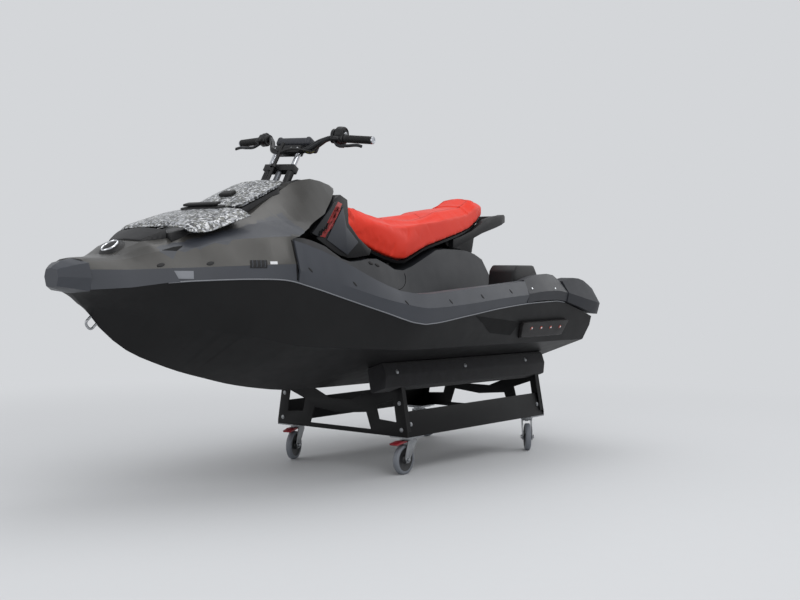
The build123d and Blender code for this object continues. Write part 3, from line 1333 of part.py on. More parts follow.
add("hull", make_hull())
add("hood", make_hood())
add("bow_cap", make_bow_cap())
add("deck", make_deck())
add("side_rails", *pair(make_rail()))
add("rear_side_caps", *pair(make_side_cap()))
add("rear_corner_bumpers", *pair(make_corner()))
add("seat", make_seat())
add("seat_pan", make_seat_pan())
add("seat_support", make_support())
add("grab_handle", make_handle())
add("foot_wedges", *pair(make_wedge()))
add("footwell_mats", *make_mats())
add("boarding_pad", make_boarding_pad())
add("shroud", make_shroud())
add("knee_panels", *pair(side_strip(KNEE_PANEL, SHROUD_HALF_WIDTH, STRIP_THICKNESS)))
add("accent_strips", *pair(side_strip(ACCENT, SHROUD_HALF_WIDTH, STRIP_THICKNESS)))
add("hood_trims", *pair(side_strip(TRIM, SHROUD_HALF_WIDTH, TRIM_STAND)))
add("front_lid", lid_solid(FRONT_LID))
add("glovebox_lid", lid_solid(GLOVE_LID))
add("lid_frames", make_step(), *[rail for row in FRAMES for rail in pair(frame_rail(row))])
add("front_bin", make_tub(BIN_FRONT_X, BIN_REAR_X, BIN_HALF_WIDTH, BIN_TOP_Z, BIN_FLOOR_Z))
add("glovebox_tub", make_tub(GLOVE_FRONT_X, GLOVE_REAR_X, GLOVE_HALF_WIDTH, GLOVE_TOP_Z, GLOVE_FLOOR_Z))
add("front_latch", make_latch(FRONT_LID, 712, 62, 46, 16))
add("glovebox_latch", make_latch(GLOVE_LID, 582, 34, 40, 18))
add("sponsons", *pair(make_sponson()))
add("tow_eyes", *make_eyes())
add("engine_block", make_engine())
add("jet_pump", make_pump())
add("impeller", make_impeller())
add("drive_shaft", make_shaft())
add("steering_nozzle", make_nozzle())
add("reverse_gate", make_gate())
add("ride_plate", make_ride_plate())
add("intake_grate", make_grate())
add("steering_head", make_head())
add("console_cover", make_cover())
add("steering_base", make_clamp_base())
add("riser_tubes", *make_risers())
add("handlebar", make_bar())
add("bar_clamp", make_top_clamp())
add("grips", *make_grips())
add("bar_end_rings", *make_rings())
add("bar_controls", *make_controls())
add("bar_pad", make_pad())
add("cable_bundle", make_cables())
add("dolly_end_plates", make_end_plate(DOLLY_FRONT_X), make_end_plate(DOLLY_REAR_X + DOLLY_PLATE))
add("dolly_sides", *pair(make_dolly_side()))
add("dolly_bunks", *pair(make_bunk()))
add("caster_mounts", *[make_caster_mount(corner) for corner in CORNERS])
for corner in CORNERS:
    add(f"caster_fork_{corner.name}", make_fork(corner))
    add(f"caster_wheel_{corner.name}", make_wheel(corner))
    if corner.brake:
        add(f"caster_brake_{corner.name}", make_brake(corner))

os.makedirs("parts", exist_ok=True)
for name, shape in parts.items():
    print(name, shape.is_valid, round(shape.volume / 1e6, 3), len(shape.faces()), len(shape.solids()))
    export_step(shape, f"parts/{name}.step")
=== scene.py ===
"""Finishes, soft parts and fittings of a two-seat watercraft on its display dolly."""

import json
import logging
import math
from collections.abc import Iterable, Sequence
from dataclasses import dataclass
from enum import Enum

import bmesh
import bpy
from bmesh.types import BMEdge, BMesh
from bpy.types import Material, Node, NodeTree, Object
from mathutils import Matrix, Vector
from mathutils.bvhtree import BVHTree

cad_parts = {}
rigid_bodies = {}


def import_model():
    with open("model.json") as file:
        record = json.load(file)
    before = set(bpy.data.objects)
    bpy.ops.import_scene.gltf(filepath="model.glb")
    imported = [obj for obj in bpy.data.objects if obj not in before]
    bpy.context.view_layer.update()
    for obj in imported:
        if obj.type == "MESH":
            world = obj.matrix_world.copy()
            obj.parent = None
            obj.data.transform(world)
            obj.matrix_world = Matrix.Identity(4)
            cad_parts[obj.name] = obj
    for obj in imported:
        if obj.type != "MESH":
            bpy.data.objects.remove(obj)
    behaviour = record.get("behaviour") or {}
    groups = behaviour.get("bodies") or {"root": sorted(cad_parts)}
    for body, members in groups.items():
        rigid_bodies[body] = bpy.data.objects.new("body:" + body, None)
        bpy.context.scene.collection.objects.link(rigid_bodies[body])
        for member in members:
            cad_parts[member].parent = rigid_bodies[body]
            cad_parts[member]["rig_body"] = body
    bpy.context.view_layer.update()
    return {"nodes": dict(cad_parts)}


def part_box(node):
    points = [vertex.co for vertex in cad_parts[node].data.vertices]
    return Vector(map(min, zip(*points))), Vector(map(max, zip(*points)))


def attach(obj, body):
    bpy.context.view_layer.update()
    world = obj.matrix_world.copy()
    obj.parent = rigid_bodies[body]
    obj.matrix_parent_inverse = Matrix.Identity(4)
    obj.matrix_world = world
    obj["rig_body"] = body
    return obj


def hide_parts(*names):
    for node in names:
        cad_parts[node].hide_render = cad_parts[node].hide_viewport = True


logging.basicConfig(level=logging.INFO, format="%(message)s")
LOG = logging.getLogger("watercraft")

MM = 0.001
CRAFT = "craft"
UNMOVED = Matrix.Identity(4)

Socket = bpy.types.NodeSocket
Pair = tuple[float, float]
Triple = tuple[float, float, float]

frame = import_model()


def linear(hex_colour: str) -> tuple[float, float, float, float]:
    """Turns an sRGB hex colour into Blender's linear colour.

    Args:
        hex_colour: Six hex digits after a hash sign.

    Returns:
        Linear red, green and blue with an alpha of one.
    """
    parts = [int(hex_colour[i : i + 2], 16) / 255 for i in (1, 3, 5)]
    red, green, blue = (p / 12.92 if p <= 0.04045 else ((p + 0.055) / 1.055) ** 2.4 for p in parts)
    return red, green, blue, 1.0


def add_node(tree: NodeTree, kind: str, inputs: dict | None = None, **settings: object) -> Node:
    """Adds one shader node with its settings, values and links.

    Args:
        tree: The material's node tree.
        kind: The node's type name.
        inputs: Socket name or index to a value, or to the output socket that feeds it.
        settings: Attributes of the node.

    Returns:
        The new node.
    """
    node = tree.nodes.new(kind)
    for key, value in settings.items():
        setattr(node, key, value)
    for key, value in (inputs or {}).items():
        if isinstance(value, Socket):
            tree.links.new(value, node.inputs[key])
        else:
            node.inputs[key].default_value = value
    return node


def ramp(tree: NodeTree, factor: Socket, stops: Sequence[tuple[float, str]]) -> Socket:
    """Colours a factor through a ramp.

    Args:
        tree: The material's node tree.
        factor: The socket that gives the position on the ramp.
        stops: Position and hex colour of each stop, in order.

    Returns:
        The ramp's colour output.
    """
    node = add_node(tree, "ShaderNodeValToRGB", {"Fac": factor})
    elements = node.color_ramp.elements
    while len(elements) < len(stops):
        elements.new(0.5)
    for element, (position, colour) in zip(elements, stops, strict=True):
        element.position = position
        element.color = linear(colour)
    return node.outputs["Color"]


def noise(tree: NodeTree, coords: Socket, size_mm: float, detail: float) -> Node:
    """Adds a noise whose clouds have a size in millimetres."""
    size = {"Vector": coords, "Scale": 1 / (size_mm * MM), "Detail": detail}
    return add_node(tree, "ShaderNodeTexNoise", size)


def maths(tree: NodeTree, operation: str, first: Socket, second: Socket) -> Socket:
    """Adds an arithmetic node and gives its result."""
    return add_node(tree, "ShaderNodeMath", {0: first, 1: second}, operation=operation).outputs[0]


def seen_directly(tree: NodeTree) -> Socket:
    """One for the rays that the camera, a mirror or a glass sends, and zero for light."""
    rays = add_node(tree, "ShaderNodeLightPath").outputs
    seen = maths(tree, "MAXIMUM", rays["Is Camera Ray"], rays["Is Glossy Ray"])
    return maths(tree, "MAXIMUM", seen, rays["Is Transmission Ray"])


@dataclass(frozen=True)
class Finish:
    """A moulded or coated surface with two close tones and a fine grain.

    Attributes:
        name: The material's common name and how it was made.
        colour: Main tone.
        second: Tone of the soft clouds in it.
        roughness: Roughness of the surface.
        metallic: One for a bare metal.
        grain_mm: Size of the grain.
        depth_mm: Height of the grain.
        cloud_mm: Size of the tone's clouds.
        coat: Weight of a clear coat.
        specular: Strength of a plastic's reflection.
        wander_mm: Size of the patches in which the roughness wanders.
        wander: How far it wanders either way.
        coat_roughness: Roughness of the clear coat.
        sheen: Weight of the bloom at grazing angles, as on cloth.
        sheen_roughness: Roughness of that bloom.
    """

    name: str
    colour: str
    second: str
    roughness: float = 0.5
    metallic: float = 0.0
    grain_mm: float = 3.0
    depth_mm: float = 0.05
    cloud_mm: float = 140.0
    coat: float = 0.0
    specular: float = 0.5
    wander_mm: float = 60.0
    wander: float = 0.07
    coat_roughness: float = 0.15
    sheen: float = 0.0
    sheen_roughness: float = 0.5

    def tone(self, tree: NodeTree, coords: Socket) -> Socket:
        """The base colour: soft clouds between the two tones."""
        cloud = noise(tree, coords, self.cloud_mm, 4.0)
        return ramp(tree, cloud.outputs["Fac"], [(0.3, self.colour), (0.7, self.second)])

    def height(self, tree: NodeTree, coords: Socket) -> Socket:
        """The height that the bump reads: fine grain of a mould or of paint."""
        return noise(tree, coords, self.grain_mm, 3.0).outputs["Fac"]

    def rough(self, tree: NodeTree, coords: Socket) -> Socket:
        """Roughness that wanders a little, as on any used surface."""
        patches = noise(tree, coords, self.wander_mm, 5.0).outputs["Fac"]
        least, most = self.roughness - self.wander, self.roughness + self.wander
        spread = add_node(tree, "ShaderNodeMapRange", {"Value": patches, "To Min": least, "To Max": most})
        return spread.outputs["Result"]

    def material(self) -> Material:
        """Gives the finish's node material, made once."""
        found = bpy.data.materials.get(self.name)
        if found:
            return found
        made = bpy.data.materials.new(self.name)
        made.use_nodes = True
        tree = made.node_tree
        shader = tree.nodes["Principled BSDF"]
        coords = add_node(tree, "ShaderNodeTexCoord").outputs["Object"]
        tree.links.new(self.tone(tree, coords), shader.inputs["Base Color"])
        tree.links.new(self.rough(tree, coords), shader.inputs["Roughness"])
        grain = {"Strength": 1.0, "Distance": self.depth_mm * MM, "Height": self.height(tree, coords)}
        bump = add_node(tree, "ShaderNodeBump", grain)
        tree.links.new(bump.outputs["Normal"], shader.inputs["Normal"])
        plain = {
            "Metallic": self.metallic,
            "Specular IOR Level": self.specular,
            "Coat Weight": self.coat,
            "Coat Roughness": self.coat_roughness,
            "Sheen Weight": self.sheen,
            "Sheen Roughness": self.sheen_roughness,
        }
        for socket, value in plain.items():
            shader.inputs[socket].default_value = value
        return made


@dataclass(frozen=True)
class Vinyl(Finish):
    """Marine vinyl over foam: leather-like cells with a faint bloom, as on new vinyl."""

    sheen: float = 0.05
    sheen_roughness: float = 0.4

    def height(self, tree: NodeTree, coords: Socket) -> Socket:
        """Embossed cells of the vinyl, drawn larger than life so that they show."""
        size = {"Vector": coords, "Scale": 1 / (self.grain_mm * MM)}
        return add_node(tree, "ShaderNodeTexVoronoi", size, feature="DISTANCE_TO_EDGE").outputs["Distance"]


@dataclass(frozen=True)
class SpecklePrint(Finish):
    """Film-printed lid: pale, grey and dark flecks with ragged edges.

    Attributes:
        fleck_mm: Size of a fleck.
        bend_mm: Size of the noise that bends the flecks' edges.
        bend: How far it bends them, in metres.
    """

    fleck_mm: float = 7.5
    bend_mm: float = 5.0
    bend: float = 0.016

    def tone(self, tree: NodeTree, coords: Socket) -> Socket:
        """Flecks in four greys, bent by a finer noise."""
        bend = noise(tree, coords, self.bend_mm, 2.0).outputs["Color"]
        parts = {"Fac": self.bend, "Color1": coords, "Color2": bend}
        bent = add_node(tree, "ShaderNodeMixRGB", parts, blend_type="ADD").outputs["Color"]
        cells = add_node(tree, "ShaderNodeTexVoronoi", {"Vector": bent, "Scale": 1 / (self.fleck_mm * MM)})
        split = add_node(tree, "ShaderNodeSeparateColor", {"Color": cells.outputs["Color"]})
        stops = [(0.0, "#17181a"), (0.16, self.colour), (0.34, "#5c5d58")]
        stops += [(0.55, self.second), (0.82, "#bcbec1")]
        tone = ramp(tree, split.outputs["Red"], stops)
        tone.node.color_ramp.interpolation = "CONSTANT"
        return tone


@dataclass(frozen=True)
class RibbedFoam(Finish):
    """Traction mat: cut EVA foam with fine parallel grooves.

    Attributes:
        rib_mm: Pitch of the grooves.
        wave_unit: Scale at which Blender's wave texture repeats once a metre.
    """

    rib_mm: float = 14.0
    wave_unit: float = 0.314

    def height(self, tree: NodeTree, coords: Socket) -> Socket:
        """Grooves that run along the craft."""
        size = {"Vector": coords, "Scale": self.wave_unit / (self.rib_mm * MM)}
        return add_node(tree, "ShaderNodeTexWave", size, bands_direction="Y").outputs["Fac"]


class Coat(Enum):
    """Every finish on the craft and its dolly."""

    # Glass-filled polypropylene, moulded matt: near black with a soft broad highlight
    HULL = Finish(
        "polypropylene_hull_moulded", "#121213", "#161617", 0.5, grain_mm=4, depth_mm=0.04, specular=0.22
    )
    # Metallic in-mould colour: bronze-grey with a satin sheen
    HOOD = Finish(
        "hood_metallic_moulded", "#444341", "#3e3d3b", 0.36, 0.4, grain_mm=2, depth_mm=0.015, coat=0.05
    )
    # Unpainted polypropylene: slate grey, satin
    RAIL = Finish("polypropylene_slate_moulded", "#34373e", "#303339", 0.45, depth_mm=0.05)
    # The same resin in a darker mix for the deck moulding
    DECK = Finish("polypropylene_deck_moulded", "#212327", "#1e2024", 0.5, depth_mm=0.05, specular=0.4)
    # Black moulded trim, finely spark-eroded: frames, shroud, pedestal and housings; on the lid frames the
    # black is partly painted shade in the channels beside the lids
    TRIM = Finish(
        "trim_black_moulded", "#0e0e10", "#121214", 0.5, grain_mm=2, depth_mm=0.04, specular=0.4
    )
    # Slate moulding of the rear side caps, a shade lighter than the deck
    CAP = Finish("polypropylene_cap_moulded", "#26282d", "#222429", 0.45, depth_mm=0.05, specular=0.35)
    # Thermoplastic rubber bumper: matt and a little dusty
    BUMPER = Finish("bumper_rubber_moulded", "#24262b", "#282a2f", 0.62, depth_mm=0.08, specular=0.3)
    # Marine vinyl saddle cover, bright red-orange
    SADDLE = Vinyl(
        "marine_vinyl_red", "#cf2f1d", "#d23320", 0.48, grain_mm=3, depth_mm=0.12, specular=0.25
    )
    # The same vinyl, rolled round a cord and sewn in
    PIPING = Vinyl("marine_vinyl_piping", "#b8291b", "#b02518", 0.45, grain_mm=2, depth_mm=0.03)
    # Printed film under clear resin on the two lids
    LID = SpecklePrint(
        "lid_film_printed", "#2b2c30", "#8a8d92", 0.42, grain_mm=3, depth_mm=0.03, coat=0.1
    )
    # Dark red moulded strip beside the knee panel
    ACCENT = Finish("accent_red_moulded", "#a52a28", "#8f2321", 0.4, depth_mm=0.03)
    # Pale rubber bead in the joint
    BEAD = Finish("bead_rubber_extruded", "#75777c", "#6d7075", 0.5, depth_mm=0.02)
    # Painted shade: matt black laid in the hood's notches, the recesses ahead of the sponsons and the
    # louvre slits; also the real dark seam lines
    SHADE_AND_SEAM = Finish("painted_shade_and_seam_black", "#0b0b0c", "#0e0e0f", 0.7, depth_mm=0.03, specular=0.2)
    # Foam pad under fine-grained dark slate cloth-backed vinyl
    PAD = Vinyl("bar_pad_vinyl", "#2a2c33", "#25272c", 0.55, grain_mm=2, depth_mm=0.06, specular=0.4)
    # Cut foam mats
    MAT = RibbedFoam("foam_mat_cut", "#26272a", "#2c2d31", 0.8, depth_mm=1.2, specular=0.3)
    # Sand-cast aluminium of the pump, painted silver grey
    CAST = Finish("aluminium_cast_painted", "#6d7075", "#62656a", 0.45, 0.7, grain_mm=2, depth_mm=0.08)
    # Drawn and polished aluminium tube
    BRIGHT = Finish(
        "aluminium_drawn_polished", "#c9cbd0", "#bfc1c6", 0.22, 1.0, grain_mm=1.5, depth_mm=0.01
    )
    # Turned stainless steel
    STEEL = Finish("stainless_turned", "#a9abae", "#9b9da0", 0.28, 1.0, grain_mm=1.5, depth_mm=0.015)
    # Chrome-plated ring on the nose
    CHROME = Finish("chrome_plated", "#d4d6d9", "#c8cacd", 0.12, 1.0, grain_mm=4, depth_mm=0.005)
    # Black anodised handlebar tube
    BAR = Finish("aluminium_anodised_black", "#232427", "#1c1d1f", 0.35, 0.6, grain_mm=1.5, depth_mm=0.02)
    # Soft rubber of grips, lid pulls, plugs and leads
    RUBBER = Finish(
        "rubber_moulded_black", "#151516", "#1b1b1c", 0.6, grain_mm=2, depth_mm=0.08, specular=0.35
    )
    # Dark brown-black sponson resin
    SPONSON = Finish("sponson_resin_moulded", "#181516", "#141213", 0.5, depth_mm=0.05, specular=0.35)
    # Powder-coated steel sheet of the dolly
    DOLLY = Finish(
        "steel_powder_coated", "#050506", "#080809", 0.45, grain_mm=1.6, depth_mm=0.05, specular=0.22
    )
    # Needle-felt marine carpet on the bunks, with the edge glow of its short pile
    CARPET = Finish(
        "carpet_needle_felt", "#151517", "#1d1d20", 0.95,
        depth_mm=1.6, cloud_mm=30, specular=0.15, sheen=0.1, sheen_roughness=0.6,
    )
    # Zinc-plated pressed steel of the casters
    ZINC = Finish(
        "steel_zinc_plated", "#9b9d9f", "#85878a", 0.35, 0.9, cloud_mm=20, grain_mm=2, depth_mm=0.03
    )
    # Grey polyurethane caster tread
    TREAD = Finish("polyurethane_tread_cast", "#6d7178", "#62666d", 0.5, depth_mm=0.05)
    # Dark moulded nylon hub of a caster
    HUB = Finish("nylon_hub_moulded", "#1d1e20", "#222325", 0.5, depth_mm=0.04)
    # Red moulded brake pedals
    PEDAL = Finish("pedal_red_moulded", "#8a1a24", "#741620", 0.4, depth_mm=0.03)
    # Blank white tag
    TAG = Finish("tag_film_white", "#c9cbce", "#bfc1c5", 0.4, depth_mm=0.01)
    # Blank grey plate
    PLATE = Finish("plate_film_grey", "#74777d", "#6c6f75", 0.4, depth_mm=0.01)
    # Orange-red sponson plugs
    PLUG = Finish("plug_red_moulded", "#a8412c", "#8f3626", 0.4, depth_mm=0.02)
    # Green-yellow wire sleeve
    WIRE = Finish("wire_sleeve_yellow", "#9a9a2c", "#7f8a2a", 0.45, depth_mm=0.02)


def merged_copy(node: str) -> BMesh:
    """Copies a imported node's triangles and merges their corners.

    Args:
        node: The node's name.

    Returns:
        The merged mesh, for the caller to shape and free.
    """
    bm = bmesh.new()
    bm.from_mesh(frame["nodes"][node].data)
    bmesh.ops.remove_doubles(bm, verts=bm.verts, dist=0.01 * MM)
    return bm


def shade(bm: BMesh, sharp_deg: float) -> None:
    """Shades faces smooth and keeps edges over an angle sharp.

    Args:
        bm: The mesh.
        sharp_deg: Least angle of a sharp edge.
    """
    limit = math.radians(sharp_deg)
    for face in bm.faces:
        face.smooth = True
    for edge in bm.edges:
        edge.smooth = len(edge.link_faces) == 2 and edge.calc_face_angle() < limit


def bevel(bm: BMesh, edges: list[BMEdge], width_mm: float, segments: int = 2, clamp: bool = False) -> None:
    """Rounds edges.

    Args:
        bm: The mesh.
        edges: The edges to round.
        width_mm: Width of the rounding.
        segments: Steps of the rounding.
        clamp: Whether a rounding stops where it would meet the next one.
    """
    form = {"affect": "EDGES", "profile": 0.5, "material": -1, "clamp_overlap": clamp}
    bmesh.ops.bevel(bm, geom=edges, offset=width_mm * MM, segments=segments, **form)


def flattened(bm: BMesh) -> None:
    """Joins triangles that lie in one plane into whole faces."""
    bmesh.ops.dissolve_limit(bm, angle_limit=math.radians(0.5), verts=bm.verts, edges=bm.edges)


def sharp_edges(bm: BMesh, limit: float) -> list[BMEdge]:
    """The edges that bend by more than an angle in radians."""
    return [e for e in bm.edges if len(e.link_faces) == 2 and e.calc_face_angle() > limit]


def piece(name: str, bm: BMesh, coat: Coat, body: str, sharp_deg: float) -> Object:
    """Turns a mesh into a finished piece that rides on a body.

    Args:
        name: The piece's name.
        bm: Its mesh, which is freed.
        coat: Its finish.
        body: The body that it moves with.
        sharp_deg: Least angle of a sharp edge.

    Returns:
        The new object.
    """
    shade(bm, sharp_deg)
    mesh = bpy.data.meshes.new(name)
    bm.to_mesh(mesh)
    bm.free()
    mesh.materials.append(coat.value.material())
    made = bpy.data.objects.new(name, mesh)
    bpy.context.scene.collection.objects.link(made)
    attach(made, body)
    LOG.info("%s: %d faces", name, len(mesh.polygons))
    return made


def add(name: str, bm: BMesh, coat: Coat, body: str = CRAFT, sharp_deg: float = 40.0) -> Object:
    """Adds a piece that no node has, with its material slot."""
    made = piece(name, bm, coat, body, sharp_deg)
    return made


def stand_in(
    name: str, bm: BMesh, coat: Coat, node: str, sharp_deg: float = 40.0
) -> Object:
    """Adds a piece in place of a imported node, on the node's body.

    Args:
        name: The piece's name.
        bm: Its mesh, which is freed.
        coat: Its finish.
        node: The node that it stands in for.
        sharp_deg: Least angle of a sharp edge.

    Returns:
        The new object.
    """
    made = piece(name, bm, coat, frame["nodes"][node]["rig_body"], sharp_deg)
    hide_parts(node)
    return made


def dress(node: str, coat: Coat, sharp_deg: float = 30.0, bevel_mm: float = 0.0) -> Object:
    """Stands a merged, smooth-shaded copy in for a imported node.

    Args:
        node: The node's name.
        coat: Its finish.
        sharp_deg: Least angle of an edge that stays sharp or is bevelled.
        bevel_mm: Width of the edges' rounding, or nothing.

    Returns:
        The copy.
    """
    bm = merged_copy(node)
    if bevel_mm:
        flattened(bm)
        bevel(bm, sharp_edges(bm, math.radians(sharp_deg)), bevel_mm, clamp=True)
        bmesh.ops.recalc_face_normals(bm, faces=bm.faces)
    return stand_in(f"{node}_skin", bm, coat, node, sharp_deg)


class Skin:
    """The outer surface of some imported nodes, to seat fittings on."""

    def __init__(self, *nodes: str) -> None:
        """Reads the nodes' triangles into one search tree."""
        self.read(*(frame["nodes"][node].data for node in nodes))

    def read(self, *meshes: bpy.types.Mesh) -> None:
        """Reads meshes into the search tree, in place of what it held."""
        bm = bmesh.new()
        for mesh in meshes:
            bm.from_mesh(mesh)
        self.tree = BVHTree.FromBMesh(bm)
        bm.free()

    def seat(self, start: Vector, direction: Vector) -> tuple[Vector, Vector]:
        """Finds where a straight line meets the surface.

        Args:
            start: Where the line starts.
            direction: Which way it goes.

        Returns:
            The point and the outward normal there.
        """
        point, normal, _, _ = self.tree.ray_cast(start, direction)
        if point is None:
            raise ValueError(f"nothing lies {tuple(direction)} of {tuple(start)}")
        return point, normal if normal.dot(direction) < 0 else -normal

    def beside(self, x: float, z: float, side: int) -> tuple[Vector, Vector]:
        """The surface point at x and z, seen from port (1) or starboard (-1)."""
        return self.seat(Vector((x, 2.0 * side, z)), Vector((0, -side, 0)))

    def above(self, x: float, y: float) -> tuple[Vector, Vector]:
        """The surface point under a place, seen from above."""
        return self.seat(Vector((x, y, 3.0)), Vector((0, 0, -1)))


def upright(point: Vector, normal: Vector) -> Matrix:
    """A placement whose Z is a surface's normal and whose X runs along the craft.

    Args:
        point: The origin.
        normal: The surface's normal.

    Returns:
        The placement.
    """
    along = Vector((1, 0, 0)) - normal * normal.x
    along.normalize()
    across = normal.cross(along)
    turn = Matrix((along, across, normal)).transposed().to_4x4()
    return Matrix.Translation(point) @ turn


def turned(profile: Iterable[Pair], steps: int = 24) -> BMesh:
    """Spins a profile about Z.

    Args:
        profile: Radius and height of each point, in millimetres.
        steps: Number of steps round.

    Returns:
        The turned shape.
    """
    bm = bmesh.new()
    points = [bm.verts.new((r * MM, 0, h * MM)) for r, h in profile]
    edges = [bm.edges.new(pair) for pair in zip(points, points[1:])]
    round_z = {"cent": (0, 0, 0), "axis": (0, 0, 1), "angle": math.tau, "use_merge": True}
    bmesh.ops.spin(bm, geom=points + edges, steps=steps, **round_z)
    bmesh.ops.remove_doubles(bm, verts=bm.verts, dist=0.002 * MM)
    bmesh.ops.recalc_face_normals(bm, faces=bm.faces)
    return bm


def rounded_block(length: float, width: float, height: float, radius: float, segments: int = 3) -> BMesh:
    """A block with rounded edges, its underside at zero.

    Args:
        length: Size along X in millimetres.
        width: Size along Y in millimetres.
        height: Size along Z in millimetres.
        radius: Radius of the edges in millimetres.
        segments: Steps of the rounding.

    Returns:
        The block.
    """
    bm = bmesh.new()
    size = Matrix.Diagonal((length * MM, width * MM, height * MM, 1))
    bmesh.ops.create_cube(bm, size=1, matrix=Matrix.Translation((0, 0, height * MM / 2)) @ size)
    bevel(bm, bm.edges[:], radius, segments)
    return bm


def shift(x: float, y: float, z: float) -> Matrix:
    """A move by millimetres."""
    return Matrix.Translation((x * MM, y * MM, z * MM))


def turn_about(axis: str, degrees: float) -> Matrix:
    """A turn by degrees about X, Y or Z."""
    return Matrix.Rotation(math.radians(degrees), 4, axis)


def join(target: BMesh, part: BMesh, place: Matrix = UNMOVED) -> None:
    """Moves a part into place and joins it to a mesh.

    Args:
        target: The mesh that grows.
        part: The part, which is freed.
        place: Where it goes.
    """
    part.transform(place)
    mesh = bpy.data.meshes.new("part")
    part.to_mesh(mesh)
    part.free()
    target.from_mesh(mesh)
    bpy.data.meshes.remove(mesh)


def rod(points: Sequence[Sequence[float]], radius_mm: float, sides: int = 4) -> BMesh:
    """A round rod along a smooth line.

    Args:
        points: The line's points, in metres.
        radius_mm: The rod's radius.
        sides: Blender's bevel resolution round it.

    Returns:
        The rod as a mesh.
    """
    curve = bpy.data.curves.new("rod", "CURVE")
    curve.dimensions = "3D"
    curve.bevel_depth = radius_mm * MM
    curve.bevel_resolution = sides
    curve.use_fill_caps = True
    curve.resolution_u = 8
    spline = curve.splines.new("BEZIER")
    spline.bezier_points.add(len(points) - 1)
    for knot, place in zip(spline.bezier_points, points, strict=True):
        knot.co = place
        knot.handle_left_type = knot.handle_right_type = "AUTO"
    holder = bpy.data.objects.new("rod", curve)
    bpy.context.scene.collection.objects.link(holder)
    mesh = bpy.data.meshes.new_from_object(holder)
    bm = bmesh.new()
    bm.from_mesh(mesh)
    bmesh.ops.remove_doubles(bm, verts=bm.verts, dist=0.002 * MM)
    bpy.data.objects.remove(holder)
    bpy.data.curves.remove(curve)
    bpy.data.meshes.remove(mesh)
    return bm


def between(rows: Sequence[Pair], x: float) -> float:
    """Reads a table of x and value, falling in x, at one x.

    Args:
        rows: The table.
        x: Where to read it.

    Returns:
        The value in a straight line between rows.
    """
    for (x0, v0), (x1, v1) in zip(rows, rows[1:]):
        if x1 <= x <= x0:
            return v0 + (v1 - v0) * (x0 - x) / (x0 - x1)
    return rows[0][1] if x > rows[0][0] else rows[-1][1]


def share_of(value: float, start: float, end: float) -> float:
    """How far a value has come from start to end, held between nought and one."""
    return min(max((value - start) / (end - start), 0.0), 1.0)


